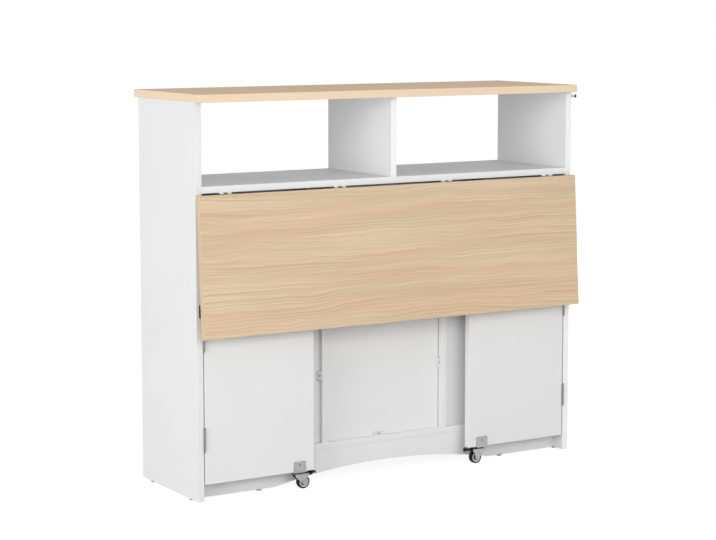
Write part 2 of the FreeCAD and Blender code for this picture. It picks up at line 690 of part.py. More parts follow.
def towel_rail():
    """Build the rail along the right side panel and its two posts."""
    x = f"({HALF} + rail_standoff)"
    bar = part_body("towel_rail", (x, "-rail_long / 2", RAIL_Z))
    rod(bar, "Additive", "towel_rail_bar", "Y", ("0", "0", "0"), "rail_dia / 2", "rail_long")
    ease(bar, "Fillet", "towel_rail_ends", "small_edge", lambda edge: edge.BoundBox.YLength < 1e-6)
    post = part_body("post_pattern", keep=False)
    rod(post, "Additive", "post_foot", "X", ("0", "0", "0"), "post_foot_radius", "post_foot_thick")
    rod(post, "Additive", "post_stem", "X", ("0", "0", "0"), "post_radius", "rail_standoff")
    head = ("rail_standoff", "-post_head_long / 2", "0")
    rod(post, "Additive", "post_head", "Y", head, "post_head_radius", "post_head_long")
    eye = ("rail_standoff", "-post_head_long", "0")
    rod(post, "Subtractive", "post_eye", "Y", eye, "rail_dia / 2 + pin_play", "2 * post_head_long")
    spots = [((HALF, f"{sign}rail_post_at", RAIL_Z), NO_TURN) for sign in ("-", "")]
    copies("towel_rail_posts", post, spots)


# Casters: each is built about its swivel line, wheel trailing along +X
def caster_bracket(side, x):
    """Build the angle bracket that wraps the gate's lower edge."""
    label = f"caster_bracket_{side}"
    bracket = part_body(label, (x, SWIVEL_Y, BRACKET_UNDER))
    wide = ("-bracket_wide / 2", "bracket_wide / 2")
    face = "-gate_thick / 2"
    outer = f"{face} - bracket_thick"
    block(bracket, "Additive", f"{label}_leg", wide, (outer, "gate_thick / 2"), ("0", "bracket_thick"))
    block(bracket, "Additive", f"{label}_plate", wide, (outer, face), ("0", "bracket_thick + bracket_up"))

    def upper_corner(edge):
        """Tell the two upper corners of the plate on the gate's face."""
        level = edge.BoundBox.ZMax - edge.BoundBox.ZMin < 1e-6 and edge.BoundBox.XLength < 1e-6
        return level and edge.BoundBox.ZMin > size_of("bracket_up")

    ease(bracket, "Fillet", f"{label}_corners", "bracket_round", upper_corner)
    slot = ("-bracket_slot_wide / 2", "bracket_slot_wide / 2")
    top = "bracket_thick + bracket_up"
    low = f"{top} - bracket_slot_up"
    through = "bracket_thick + 2 * cut_over"
    slot_deep = (f"{outer} - cut_over", f"{face} + cut_over")
    block(bracket, "Subtractive", f"{label}_slot", slot, slot_deep, (low, f"{top} + cut_over"))
    spot = ("0", f"{outer} - cut_over", low)
    rod(bracket, "Subtractive", f"{label}_slot_end", "Y", spot, "bracket_slot_wide / 2", through)
    rod(bracket, "Subtractive", f"{label}_eye", "Z", ("0", "0", "-cut_over"), "kingpin_radius", through)


def caster_fork(side, x, turn):
    """Build the fork: two cheeks bent down from a plate, under a ball race."""
    label = f"caster_fork_{side}"
    fork = part_body(label, (x, SWIVEL_Y, "0"), turn)
    sketch = flat_sketch(fork, f"{label}_outline", "XZ_Plane")
    draw_fork(sketch)
    cheeks = fork.newObject("PartDesign::Pad", f"{label}_cheeks")
    cheeks.Profile = sketch
    cheeks.SideType = "Symmetric"
    bind(cheeks, Length=f"2 * {FORK_HALF}")
    gap = f"({FORK_HALF} - fork_thick)"
    ends = ("-2 * fork_back", "2 * fork_front")
    block(fork, "Subtractive", f"{label}_gap", ends, (f"-{gap}", gap), ("0", f"{FORK_TOP} - fork_thick"))
    window = ("fork_window", ends[1])
    block(fork, "Subtractive", f"{label}_window", window, (f"-{gap}", gap), ("0", f"{FORK_TOP} + cut_over"))
    rod(fork, "Additive", f"{label}_race", "Z", ("0", "0", FORK_TOP), "race_radius", "fork_drop - race_gap")
    eye = ("0", "0", f"{FORK_TOP} - 2 * fork_thick")
    deep = "fork_drop + 4 * fork_thick"
    rod(fork, "Subtractive", f"{label}_kingpin_eye", "Z", eye, "kingpin_radius + pin_play", deep)
    through = f"4 * {FORK_HALF}"
    axle = ("wheel_trail", f"-2 * {FORK_HALF}", "wheel_radius")
    rod(fork, "Subtractive", f"{label}_axle_eye", "Y", axle, "axle_radius + pin_play", through)
    pivot = ("pedal_pivot_out", f"-2 * {FORK_HALF}", PEDAL_PIVOT_Z)
    rod(fork, "Subtractive", f"{label}_pedal_eye", "Y", pivot, "pedal_pin_radius + pin_play", through)


def draw_fork(sketch):
    """Draw a cheek: a straight head, hollowed in front, that tapers to a round boss at the axle."""
    flat = FreeCAD.Vector
    top = size_of("gate_under") - size_of("bracket_thick") - size_of("fork_drop")
    lip = top - size_of("fork_lip")
    back, front = -size_of("fork_back"), size_of("fork_front")
    boss, hollow = size_of("fork_boss"), size_of("fork_hollow")
    axle = flat(size_of("wheel_trail"), size_of("wheel_radius"))
    corner = flat(front, lip)
    span = corner.sub(axle)
    along = ((hollow + boss) ** 2 - hollow ** 2 + span.Length ** 2) / (2 * span.Length)
    aside = ((hollow + boss) ** 2 - along ** 2) ** 0.5
    ahead = flat(span).normalize()
    middle = axle + ahead * along + flat(ahead.y, -ahead.x) * aside
    meet = axle + flat(middle.sub(axle)).normalize() * boss
    inmost = middle + flat(-hollow, 0)
    lowest = axle + flat(0, -boss)
    heel = axle + flat(-boss, 0)
    sketch.addGeometry(Part.LineSegment(flat(back, top), flat(front, top)))
    sketch.addGeometry(Part.LineSegment(flat(front, top), corner))
    sketch.addGeometry(Part.Arc(corner, inmost, meet))
    sketch.addGeometry(Part.Arc(heel, lowest, meet))
    sketch.addGeometry(Part.LineSegment(heel, flat(back, lip)))
    sketch.addGeometry(Part.LineSegment(flat(back, lip), flat(back, top)))
    rule(
        sketch, ("Coincident", 0, 2, 1, 1), ("Coincident", 1, 2, 2, 1), ("Tangent", 2, 2, 3, 2),
        ("Tangent", 3, 1, 4, 1), ("Coincident", 4, 2, 5, 1), ("Coincident", 5, 2, 0, 1),
        ("Horizontal", 0), ("Vertical", 1), ("Vertical", 5),
    )
    measure(
        sketch, (("DistanceX", 0, 1, -1, 1), "fork_back"), (("DistanceX", -1, 1, 0, 2), "fork_front"),
        (("DistanceY", -1, 1, 0, 1), FORK_TOP), (("DistanceY", 1, 2, 1, 1), "fork_lip"),
        (("DistanceY", 5, 1, 5, 2), "fork_lip"), (("DistanceX", -1, 1, 3, 3), "wheel_trail"),
        (("DistanceY", -1, 1, 3, 3), "wheel_radius"), (("Radius", 3), "fork_boss"),
        (("Radius", 2), "fork_hollow"),
    )


def caster_wheel(side, x, turn):
    """Build the tyre and the dished hub inside it."""
    half = "wheel_wide / 2"
    spot = ("wheel_trail", f"-{half}", "wheel_radius")
    tyre = part_body(f"caster_tyre_{side}", (x, SWIVEL_Y, "0"), turn)
    rod(tyre, "Additive", f"tyre_{side}_ring", "Y", spot, "wheel_radius", "wheel_wide")
    ease(tyre, "Fillet", f"tyre_{side}_round", "tyre_round", lambda edge: edge.BoundBox.YLength < 1e-6)
    rod(tyre, "Subtractive", f"tyre_{side}_seat", "Y", spot, "hub_radius", "wheel_wide")

    hub = part_body(f"caster_hub_{side}", (x, SWIVEL_Y, "0"), turn)
    rod(hub, "Additive", f"hub_{side}_disc", "Y", spot, "hub_radius", "wheel_wide")
    faces = {"near": f"-{half}", "far": f"{half} - hub_dish_deep"}
    for name, y in faces.items():
        at = ("wheel_trail", y, "wheel_radius")
        rod(hub, "Subtractive", f"hub_{side}_{name}_dish", "Y", at, "hub_dish_radius", "hub_dish_deep")
        rod(hub, "Additive", f"hub_{side}_{name}_boss", "Y", at, "hub_boss_radius", "hub_dish_deep")
    rod(hub, "Subtractive", f"hub_{side}_eye", "Y", spot, "axle_radius + pin_play", "wheel_wide")


def pin_with_heads(body, name, spot, radius, head, long):
    """Add a pin along Y with a rivet head at each end."""
    x, z = spot
    rod(body, "Additive", f"{name}_shank", "Y", (x, f"-{long} / 2", z), radius, long)
    for end, y in (("near", f"-{long} / 2 - axle_head_thick"), ("far", f"{long} / 2")):
        rod(body, "Additive", f"{name}_{end}_head", "Y", (x, y, z), head, "axle_head_thick")


def caster_pins(side, x, turn):
    """Build the axle, the brake pin and the king pin of a caster."""
    axle = part_body(f"caster_axle_{side}", (x, SWIVEL_Y, "0"), turn)
    long = f"(2 * {FORK_HALF})"
    pin_with_heads(axle, f"axle_{side}", ("wheel_trail", "wheel_radius"), "axle_radius", "axle_head", long)
    pivot = part_body(f"brake_pin_{side}", (x, SWIVEL_Y, "0"), turn)
    spot = ("pedal_pivot_out", PEDAL_PIVOT_Z)
    pin_with_heads(pivot, f"brake_pin_{side}", spot, "pedal_pin_radius", "pedal_pin_head", long)


def kingpins():
    """Build the rivets that hold the forks under their brackets."""
    pin = part_body("kingpin_pattern", keep=False)
    low = f"({FORK_TOP} - fork_thick - race_gap)"
    rod(pin, "Additive", "kingpin_shank", "Z", ("0", "0", low), "kingpin_radius", f"gate_under - {low}")
    head = f"{low} - kingpin_head_thick"
    rod(pin, "Additive", "kingpin_head_disc", "Z", ("0", "0", head), "kingpin_head", "kingpin_head_thick")
    copies("caster_kingpins", pin, [((f"{sign}caster_at", SWIVEL_Y, "0"), NO_TURN) for sign in ("-", "")])


def brake_pedal(side, x, turn):
    """Build the brake pedal: a plate that dips past the fork and rises over to a round toe."""
    label = f"brake_pedal_{side}"
    pedal = part_body(label, (x, SWIVEL_Y, "0"), turn)
    line = flat_sketch(pedal, f"{label}_line", "XZ_Plane")
    draw_pedal_line(line)
    section = flat_sketch(pedal, f"{label}_section", "YZ_Plane")
    section.setExpression("AttachmentOffset.Base.z", linked("pedal_heel"))
    draw_section(section)
    plate = pedal.newObject("PartDesign::AdditivePipe", f"{label}_plate")
    plate.Profile = section
    plate.Spine = (line, [])
    plan = flat_sketch(pedal, f"{label}_plan", "XY_Plane")
    draw_pedal_plan(plan)
    trim = pedal.newObject("PartDesign::Pocket", f"{label}_trim")
    trim.Profile = plan
    trim.Type = "ThroughAll"
    trim.Reversed = True
    neck = ("-pedal_neck_wide / 2", "pedal_neck_wide / 2")
    web = ("pedal_pivot_out - pedal_boss", "pedal_pivot_out + pedal_boss")
    block(pedal, "Additive", f"{label}_neck", web, neck, (PEDAL_PIVOT_Z, FORK_TOP))
    hump = ("pedal_pivot_out", neck[0], FORK_TOP)
    rod(pedal, "Additive", f"{label}_hump", "Y", hump, "pedal_hump", "pedal_neck_wide")
    spot = ("pedal_pivot_out", neck[0], PEDAL_PIVOT_Z)
    rod(pedal, "Additive", f"{label}_boss", "Y", spot, "pedal_boss", "pedal_neck_wide")
    rod(pedal, "Subtractive", f"{label}_eye", "Y", spot, "pedal_pin_radius + pin_play", "pedal_neck_wide")


def draw_pedal_line(sketch):
    """Draw the pedal's middle line: down past the fork, through a dip, then over a crest to the toe."""
    flat = FreeCAD.Vector
    top = size_of("gate_under") - size_of("bracket_thick") - size_of("fork_drop")
    heel = flat(size_of("pedal_heel"), top + size_of("pedal_lift"))
    bend, curve = size_of("pedal_bend"), size_of("pedal_curve")
    dip = flat(size_of("pedal_dip_at"), top - size_of("pedal_dip") + bend)
    reach = size_of("pedal_crest_at") - dip.x
    crest = flat(size_of("pedal_crest_at"), dip.y - ((bend + curve) ** 2 - reach ** 2) ** 0.5)
    meet = dip + flat(crest.sub(dip)).normalize() * bend
    run = dip.sub(heel)
    slope = math.atan2(run.y, run.x) - math.asin(bend / run.Length)
    start = heel + flat(math.cos(slope), math.sin(slope)) * (run.Length ** 2 - bend ** 2) ** 0.5
    toe = flat(size_of("pedal_toe"), crest.y + (curve ** 2 - (size_of("pedal_toe") - crest.x) ** 2) ** 0.5)
    sketch.addGeometry(Part.LineSegment(heel, start))
    sketch.addGeometry(Part.Arc(start, dip + flat(0, -bend), meet))
    sketch.addGeometry(Part.Arc(toe, crest + flat(0, curve), meet))
    rule(sketch, ("Tangent", 0, 2, 1, 1), ("Tangent", 1, 2, 2, 2))
    measure(
        sketch, (("DistanceX", -1, 1, 0, 1), "pedal_heel"), (("DistanceY", -1, 1, 0, 1), PEDAL_HEEL_Z),
        (("DistanceX", -1, 1, 1, 3), "pedal_dip_at"), (("Radius", 1), "pedal_bend"),
        (("DistanceY", -1, 1, 1, 3), f"{FORK_TOP} - pedal_dip + pedal_bend"), (("Radius", 2), "pedal_curve"),
        (("DistanceX", -1, 1, 2, 3), "pedal_crest_at"), (("DistanceX", -1, 1, 2, 1), "pedal_toe"),
    )


def draw_section(sketch):
    """Draw the plate's section at the heel, as wide as the toe."""
    flat = FreeCAD.Vector
    wide, thick = size_of("pedal_wide") / 2, size_of("pedal_thick") / 2
    level = size_of("gate_under") - size_of("bracket_thick") - size_of("fork_drop") + size_of("pedal_lift")
    low, high = level - thick, level + thick
    corners = [flat(-wide, low), flat(wide, low), flat(wide, high), flat(-wide, high), flat(-wide, low)]
    for start, end in zip(corners, corners[1:]):
        sketch.addGeometry(Part.LineSegment(start, end))
    for i in range(4):
        rule(sketch, ("Coincident", i, 2, (i + 1) % 4, 1), ("Vertical" if i % 2 else "Horizontal", i))
    measure(
        sketch, (("DistanceX", 0, 1, -1, 1), "pedal_wide / 2"), (("DistanceX", 0, 1, 0, 2), "pedal_wide"),
        (("DistanceY", -1, 1, 0, 1), f"{PEDAL_HEEL_Z} - pedal_thick / 2"),
        (("DistanceY", 1, 1, 1, 2), "pedal_thick"),
    )


def draw_pedal_plan(sketch):
    """Draw what is trimmed off the plate: all but a narrow neck that flares to a round toe."""
    flat = FreeCAD.Vector
    neck, wide, toe = size_of("pedal_neck_wide") / 2, size_of("pedal_wide") / 2, size_of("pedal_toe")
    dip = size_of("pedal_dip_at")
    flare = dip + size_of("pedal_flare")
    corners = [
        flat(toe - wide, wide), flat(flare, wide), flat(dip, neck), flat(0, neck),
        flat(0, -neck), flat(dip, -neck), flat(flare, -wide), flat(toe - wide, -wide),
    ]
    for start, end in zip(corners, corners[1:]):
        sketch.addGeometry(Part.LineSegment(start, end))
    sketch.addGeometry(Part.Arc(corners[-1], flat(toe, 0), corners[0]))
    for i in range(6):
        rule(sketch, ("Coincident", i, 2, i + 1, 1))
    rule(
        sketch, ("Tangent", 6, 2, 7, 1), ("Tangent", 7, 2, 0, 1), ("Horizontal", 0), ("Horizontal", 2),
        ("Vertical", 3), ("Horizontal", 4), ("PointOnObject", 2, 2, -2), ("Symmetric", 0, 2, 5, 2, -1),
        ("Symmetric", 1, 2, 4, 2, -1), ("Horizontal", 6),
    )
    measure(
        sketch, (("DistanceY", 4, 2, 1, 2), "pedal_neck_wide"), (("DistanceX", -1, 1, 1, 2), "pedal_dip_at"),
        (("DistanceX", 1, 2, 0, 2), "pedal_flare"), (("Radius", 7), "pedal_wide / 2"),
        (("DistanceX", -1, 1, 7, 3), "pedal_toe - pedal_wide / 2"),
    )
    around = 2 * toe
    frame = [flat(-around, -around), flat(around, -around), flat(around, around), flat(-around, around)]
    for start, end in zip(frame, frame[1:] + frame[:1]):
        sketch.addGeometry(Part.LineSegment(start, end))
    for i in range(4):
        level = "Vertical" if i % 2 else "Horizontal"
        rule(sketch, ("Coincident", 8 + i, 2, 8 + (i + 1) % 4, 1), (level, 8 + i))
    rule(sketch, ("Symmetric", 8, 1, 9, 2, -1, 1))
    across = (("DistanceX", 8, 1, 8, 2), "4 * pedal_toe")
    measure(sketch, across, (("DistanceY", 9, 1, 9, 2), "4 * pedal_toe"))


def casters():
    """Build both casters, the right one turned to trail the other way."""
    for side, sign in SIDES.items():
        x = "-caster_at" if sign < 0 else "caster_at"
        turn = NO_TURN if sign < 0 else FLIP_Z
        caster_bracket(side, x)
        caster_fork(side, x, turn)
        caster_wheel(side, x, turn)
        caster_pins(side, x, turn)
        brake_pedal(side, x, turn)
    kingpins()


def check_and_write():
    """Stop on any failed object or solid, then write each node to its own file."""
    doc.recompute()
    for item in doc.Objects:
        if "Invalid" in item.State or "Error" in item.State:
            raise RuntimeError(f"{item.Label} failed: {item.State}")
    os.makedirs("parts", exist_ok=True)
    for node in nodes:
        if node.Shape.isNull() or not node.Shape.isValid():
            raise RuntimeError(f"{node.Label} has no valid shape")
        node.Shape.exportStep(f"parts/{node.Label}.step")
    print(len(nodes), "nodes,", sum(len(node.Shape.Solids) for node in nodes), "solids")


carcass()
apron("rear_apron", (f"{FRAME} + apron_setback", f"{FRAME} + apron_setback + board_thick"))
apron("front_apron", (f"{FRONT} - apron_setback - board_thick", f"{FRONT} - apron_setback"))
back_panels()
feet()
inner_shelves()
gate_and_door_hinges()
leaf_hinges()
drop_leaf()
gates()
doors()
drawer()
towel_rail()
casters()
check_and_write()
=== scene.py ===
"""Looks of a kitchen cart with a drop leaf, dressed on its packed construction.

Every length is in metres, in the frame of the construction: +Z up, the drop leaf on the -Y side.
"""

from __future__ import annotations

import json
import logging
import math
from collections.abc import Iterable
from dataclasses import dataclass
from enum import Enum

import bmesh
import bpy
import numpy as np
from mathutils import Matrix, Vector

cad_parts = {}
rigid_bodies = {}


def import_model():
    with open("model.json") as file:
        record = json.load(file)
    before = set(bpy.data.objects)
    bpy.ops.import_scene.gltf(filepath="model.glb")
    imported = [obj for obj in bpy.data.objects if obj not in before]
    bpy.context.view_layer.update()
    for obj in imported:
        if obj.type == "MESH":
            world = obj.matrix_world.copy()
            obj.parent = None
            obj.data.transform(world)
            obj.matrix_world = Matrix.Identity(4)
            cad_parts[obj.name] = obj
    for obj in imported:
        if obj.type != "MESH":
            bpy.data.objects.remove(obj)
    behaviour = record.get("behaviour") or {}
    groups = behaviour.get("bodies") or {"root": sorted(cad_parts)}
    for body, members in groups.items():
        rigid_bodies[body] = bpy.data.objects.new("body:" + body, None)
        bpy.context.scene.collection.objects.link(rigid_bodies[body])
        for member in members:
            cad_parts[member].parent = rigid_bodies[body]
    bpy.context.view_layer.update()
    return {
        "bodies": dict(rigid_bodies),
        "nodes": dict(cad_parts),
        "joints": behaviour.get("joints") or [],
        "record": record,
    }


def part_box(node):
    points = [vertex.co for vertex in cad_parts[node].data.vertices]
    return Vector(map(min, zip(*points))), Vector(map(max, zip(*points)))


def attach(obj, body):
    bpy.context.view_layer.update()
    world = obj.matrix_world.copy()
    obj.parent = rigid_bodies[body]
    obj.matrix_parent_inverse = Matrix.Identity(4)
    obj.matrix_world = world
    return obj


LOG = logging.getLogger("kitchen_cart")
MILLIMETRE = 0.001
MERGE_REACH = MILLIMETRE / 1000
GOLDEN_TURN = math.pi * (3.0 - math.sqrt(5.0))

Colour = tuple[float, float, float, float]
Triple = tuple[float, float, float]
Ramp = tuple[float, float, float, float]
Swing = tuple[float, float]
Socket = bpy.types.NodeSocket
NodeTree = bpy.types.NodeTree
Finish = bpy.types.Material

ORIGIN: Triple = (0.0, 0.0, 0.0)
ALONG_X: Triple = (1.0, 0.0, 0.0)
ALONG_Y: Triple = (0.0, 1.0, 0.0)
ALONG_Z: Triple = (0.0, 0.0, 1.0)
# How far a face has to point along a direction to count as square to it, or as a rounded board edge.
SQUARE_ON = 0.9
EDGE_ON = 0.6
# The range that holds nearly all the values of a noise, and its middle.
NOISE_RANGE = (0.3, 0.7)
NOISE_MIDDLE = 0.5


class Side(Enum):
    """The two sides of the cart, as the sign of X."""

    LEFT = -1
    RIGHT = 1

    @property
    def word(self) -> str:
        """The side's name in the construction."""
        return self.name.lower()


class Head(Enum):
    """Forms of a screw head: its radius, height and top radius in millimetres."""

    COUNTERSUNK = (2.6, 0.15, 2.5)
    PAN = (3.2, 1.6, 2.3)
    SMALL_PAN = (2.2, 1.2, 1.5)


@dataclass(frozen=True)
class Place:
    """A spot on a surface and the way that surface faces."""

    spot: Vector
    facing: Vector


@dataclass(frozen=True)
class Span:
    """The lowest and highest corner of a solid."""

    low: Vector
    high: Vector

    @property
    def middle(self) -> Vector:
        """The centre of the solid's box."""
        return (self.low + self.high) / 2


def grey(level: float) -> Colour:
    """Give an even grey."""
    return (level, level, level, 1.0)


def span_of(node: str) -> Span:
    """Give the box of a whole construction node."""
    return Span(*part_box(node))


def solids_of(node: str) -> list[Span]:
    """Split a construction node that holds several solids into their boxes.

    Args:
        node: The node's name.

    Returns:
        One span for each solid, from left to right, then from low to high.
    """
    work = bmesh.new()
    work.from_mesh(bpy.data.objects[node].data)
    bmesh.ops.remove_doubles(work, verts=work.verts, dist=MERGE_REACH)
    seen: set[int] = set()
    spans = []
    for start in work.verts:
        if start.index in seen:
            continue
        seen.add(start.index)
        open_ends = [start]
        island = []
        while open_ends:
            here = open_ends.pop()
            island.append(here.co.copy())
            for edge in here.link_edges:
                other = edge.other_vert(here)
                if other.index not in seen:
                    seen.add(other.index)
                    open_ends.append(other)
        corners = np.array(island)
        spans.append(Span(Vector(corners.min(0)), Vector(corners.max(0))))
    work.free()
    return sorted(spans, key=lambda span: (round(span.middle.x, 3), round(span.middle.z, 3)))


def add_node(tree: NodeTree, kind: str, inputs: dict | None = None, **settings: object) -> bpy.types.Node:
    """Add a node to a tree.

    Args:
        tree: The tree that takes the node.
        kind: The node's type.
        inputs: What each input is wired to or set to, by the input's name or number.
        **settings: The node's own options.

    Returns:
        The new node.
    """
    node = tree.nodes.new(kind)
    for option, value in settings.items():
        setattr(node, option, value)
    for key, value in (inputs or {}).items():
        if isinstance(value, Socket):
            tree.links.new(value, node.inputs[key])
        else:
            node.inputs[key].default_value = value
    return node


class Shading:
    """The node tree of a material or of the world, with short calls that add and wire nodes."""

    def __init__(self, owner: bpy.types.Material | bpy.types.World) -> None:
        """Start from the nodes that the owner has at first."""
        owner.use_nodes = True
        self.tree = owner.node_tree

    def add(self, kind: str, inputs: dict | None = None, **settings: object) -> bpy.types.Node:
        """Add a node to this tree."""
        return add_node(self.tree, kind, inputs, **settings)

    def local(self, origin: Triple, turn: Triple = ORIGIN) -> Socket:
        """Give object coordinates about a piece's own origin, turned with the piece.

        Args:
            origin: Where the pattern has its middle.
            turn: The piece's turn about the three axes.

        Returns:
            The coordinate.
        """
        source = self.add("ShaderNodeTexCoord").outputs["Object"]
        inputs = {"Vector": source, "Location": origin, "Rotation": turn}
        return self.add("ShaderNodeMapping", inputs, vector_type="TEXTURE").outputs["Vector"]

    def stretched(self, spot: Socket, scale: Triple) -> Socket:
        """Scale a coordinate along its three axes."""
        inputs = {0: spot, 1: scale}
        return self.add("ShaderNodeVectorMath", inputs, operation="MULTIPLY").outputs["Vector"]

    def noise(self, spot: Socket, scale: float = 1.0, detail: float = 2.0, rough: float = 0.5) -> Socket:
        """Give a noise value between 0 and 1 at a coordinate."""
        inputs = {"Vector": spot, "Scale": scale, "Detail": detail, "Roughness": rough}
        return self.add("ShaderNodeTexNoise", inputs).outputs["Fac"]

    def along(self, spot: Socket, way: Triple) -> Socket:
        """Give how far a vector points along a direction."""
        inputs = {0: spot, 1: way}
        return self.add("ShaderNodeVectorMath", inputs, operation="DOT_PRODUCT").outputs["Value"]

    def facing(self, way: Triple) -> Socket:
        """Give how far the surface faces a direction, from -1 to 1."""
        return self.along(self.add("ShaderNodeTexCoord").outputs["Normal"], way)

    def square_to(self, way: Triple, least: float) -> Socket:
        """Pick the surfaces that face along a direction, either way round."""
        return self.math("GREATER_THAN", self.math("ABSOLUTE", self.facing(way)), least)

    def math(self, operation: str, first: Socket | float, second: Socket | float = 0.0) -> Socket:
        """Give the result of a sum on one or two values."""
        return self.add("ShaderNodeMath", {0: first, 1: second}, operation=operation).outputs["Value"]

    def spread(self, value: Socket, ramp: Ramp) -> Socket:
        """Map a value from one range to another, held at the ends."""
        inputs = dict(zip(("From Min", "From Max", "To Min", "To Max"), ramp))
        return self.add("ShaderNodeMapRange", {"Value": value, **inputs}).outputs["Result"]

    def mix(self, factor: Socket, first: Socket | Colour, second: Socket | Colour) -> Socket:
        """Mix two colours."""
        return self.add("ShaderNodeMix", {0: factor, 6: first, 7: second}, data_type="RGBA").outputs[2]

    def wire(self, **inputs: Socket | Colour | float) -> None:
        """Set or wire inputs of the principled shader.

        Args:
            **inputs: The value of each input, with _ for a space in its name.
        """
        surface = self.tree.nodes["Principled BSDF"]
        for key, value in inputs.items():
            socket = surface.inputs[key.replace("_", " ").title().replace("Ior", "IOR")]
            if isinstance(value, Socket):
                self.tree.links.new(value, socket)
            else:
                socket.default_value = value

    def roughen(self, value: Socket, middle: float, swing: Swing) -> None:
        """Let the roughness swing down and up from its middle with a noise."""
        less, more = swing
        self.wire(roughness=self.spread(value, (*NOISE_RANGE, middle - less, middle + more)))

    def relief(self, height: Socket, strength: float, depth: float) -> None:
        """Give the surface a relief of a real depth."""
        bump = self.add("ShaderNodeBump", {"Height": height, "Strength": strength, "Distance": depth})
        self.wire(normal=bump.outputs["Normal"])


@dataclass(frozen=True)
class OakLaminate:
    """Light oak print: long wavy growth lines on the faces, a plainer band on the edges.

    A grid says how close a noise is along, across and through the grain. A ramp says from which to which
    value of a noise a tone comes in, and how strongly at both.
    """

    name: str
    origin: Triple
    band: Colour
    tilt: float = 0.0
    seed: float = 0.0
    backing: Colour | None = None
    hinge_edge: Colour | None = None
    roughness: float = 0.55
    rough_swing: Swing = (0.05, 0.07)
    gloss: float = 0.25
    relief: float = 0.25
    relief_depth: float = 0.05 * MILLIMETRE

    pale: Colour = (0.850, 0.685, 0.485, 1.0)
    plain: Colour = (0.730, 0.566, 0.388, 1.0)
    deep: Colour = (0.540, 0.390, 0.240, 1.0)
    rosy: Colour = (0.745, 0.526, 0.350, 1.0)

    sway: float = 0.032
    sway_grid: Triple = (2.2, 5.5, 0.0)
    ripple: float = 0.013
    ripple_grid: Triple = (9.0, 14.0, 0.0)
    pitch: float = 0.0090
    drift: float = 5.5
    drift_grid: Triple = (1.2, 15.0, 4.0)

    fibre_grid: Triple = (6.0, 620.0, 200.0)
    fibre_breaks: float = 0.6
    pore_grid: Triple = (22.0, 640.0, 150.0)
    fade_grid: Triple = (2.4, 42.0, 10.0)
    shade_grid: Triple = (2.0, 60.0, 14.0)
    blush_grid: Triple = (1.6, 19.0, 5.0)

    band_ramp: Ramp = (*NOISE_RANGE, 0.0, 0.2)
    blush_ramp: Ramp = (0.42, 0.58, 0.0, 1.0)
    dark_ramp: Ramp = (0.52, 0.34, 0.0, 0.30)
    light_ramp: Ramp = (0.52, 0.68, 0.0, 0.36)
    fade_ramp: Ramp = (0.38, 0.62, 0.12, 1.0)
    early_ramp: Ramp = (0.0, 0.34, 0.72, 0.0)
    late_ramp: Ramp = (0.62, 0.97, 0.0, 0.56)
    fibre_ramp: Ramp = (0.40, 0.68, 0.0, 0.26)
    pore_ramp: Ramp = (0.64, 0.72, 0.0, 0.32)

    def make(self) -> Finish:
        """Build the print, its fibres, the edge band, any backing and any painted shadow on the hinge edge.

        Returns:
            The finished material.
        """
        material = bpy.data.materials.new(self.name)
        look = Shading(material)
        spot = look.local(self.origin, (self.tilt, 0.0, 0.0))
        shift = {0: spot, 1: (self.seed, self.seed, 0.0)}
        shifted = look.add("ShaderNodeVectorMath", shift, operation="ADD").outputs["Vector"]
        flow = self.bent(look, shifted)
        fibres = look.noise(look.stretched(flow, self.fibre_grid), rough=self.fibre_breaks)
        pores = look.noise(look.stretched(flow, self.pore_grid), detail=1.0)
        printed = self.printed(look, flow, fibres, pores)
        banded = look.mix(look.spread(fibres, self.band_ramp), self.band, self.pale)

        face = (0.0, -math.sin(self.tilt), math.cos(self.tilt))
        colour = look.mix(look.square_to(face, SQUARE_ON), banded, printed)
        if self.backing:
            underside = look.math("LESS_THAN", look.facing(face), -SQUARE_ON)
            colour = look.mix(underside, colour, self.backing)
        # Painted shadow: the edge that faces the hinge is drawn near black, for the shade in the gap under
        # the shelf.
        if self.hinge_edge:
            upward = (0.0, math.cos(self.tilt), math.sin(self.tilt))
            shadowed_edge = look.math("GREATER_THAN", look.facing(upward), SQUARE_ON)
            colour = look.mix(shadowed_edge, colour, self.hinge_edge)
        look.wire(base_color=colour, specular_ior_level=self.gloss)
        look.roughen(fibres, self.roughness, self.rough_swing)
        look.relief(look.math("SUBTRACT", fibres, pores), self.relief, self.relief_depth)
        return material

    def bent(self, look: Shading, base: Socket) -> Socket:
        """Bend a coordinate so that the lines drawn along X sway and ripple.

        Args:
            look: The material that is being built.
            base: The straight coordinate, X along the grain and Y across it.

        Returns:
            The bent coordinate.
        """
        axes = look.add("ShaderNodeSeparateXYZ", {0: base}).outputs
        long_bend = look.noise(look.stretched(base, self.sway_grid))
        short_bend = look.noise(look.stretched(base, self.ripple_grid), detail=1.0)
        swing = look.math("MULTIPLY", look.math("SUBTRACT", long_bend, NOISE_MIDDLE), self.sway)
        stir = look.math("MULTIPLY", look.math("SUBTRACT", short_bend, NOISE_MIDDLE), self.ripple)
        across = look.math("ADD", axes["Y"], look.math("ADD", swing, stir))
        joined = {"X": axes["X"], "Y": across, "Z": axes["Z"]}
        return look.add("ShaderNodeCombineXYZ", joined).outputs["Vector"]

    def printed(self, look: Shading, flow: Socket, fibres: Socket, pores: Socket) -> Socket:
        """Draw the growth lines, broad tones, fibres and pores of the print.

        Args:
            look: The material that is being built.
            flow: The bent coordinate.
            fibres: The fine fibre value.
            pores: The pore value.

        Returns:
            The print's colour.
        """
        across = look.add("ShaderNodeSeparateXYZ", {0: flow}).outputs["Y"]
        wander = look.noise(look.stretched(flow, self.drift_grid))
        count = look.math("DIVIDE", across, self.pitch)
        ring = look.math("FRACT", look.math("ADD", count, look.math("MULTIPLY", wander, self.drift)))
        fade = look.noise(look.stretched(flow, self.fade_grid))
        shade = look.noise(look.stretched(flow, self.shade_grid))
        blush = look.noise(look.stretched(flow, self.blush_grid))

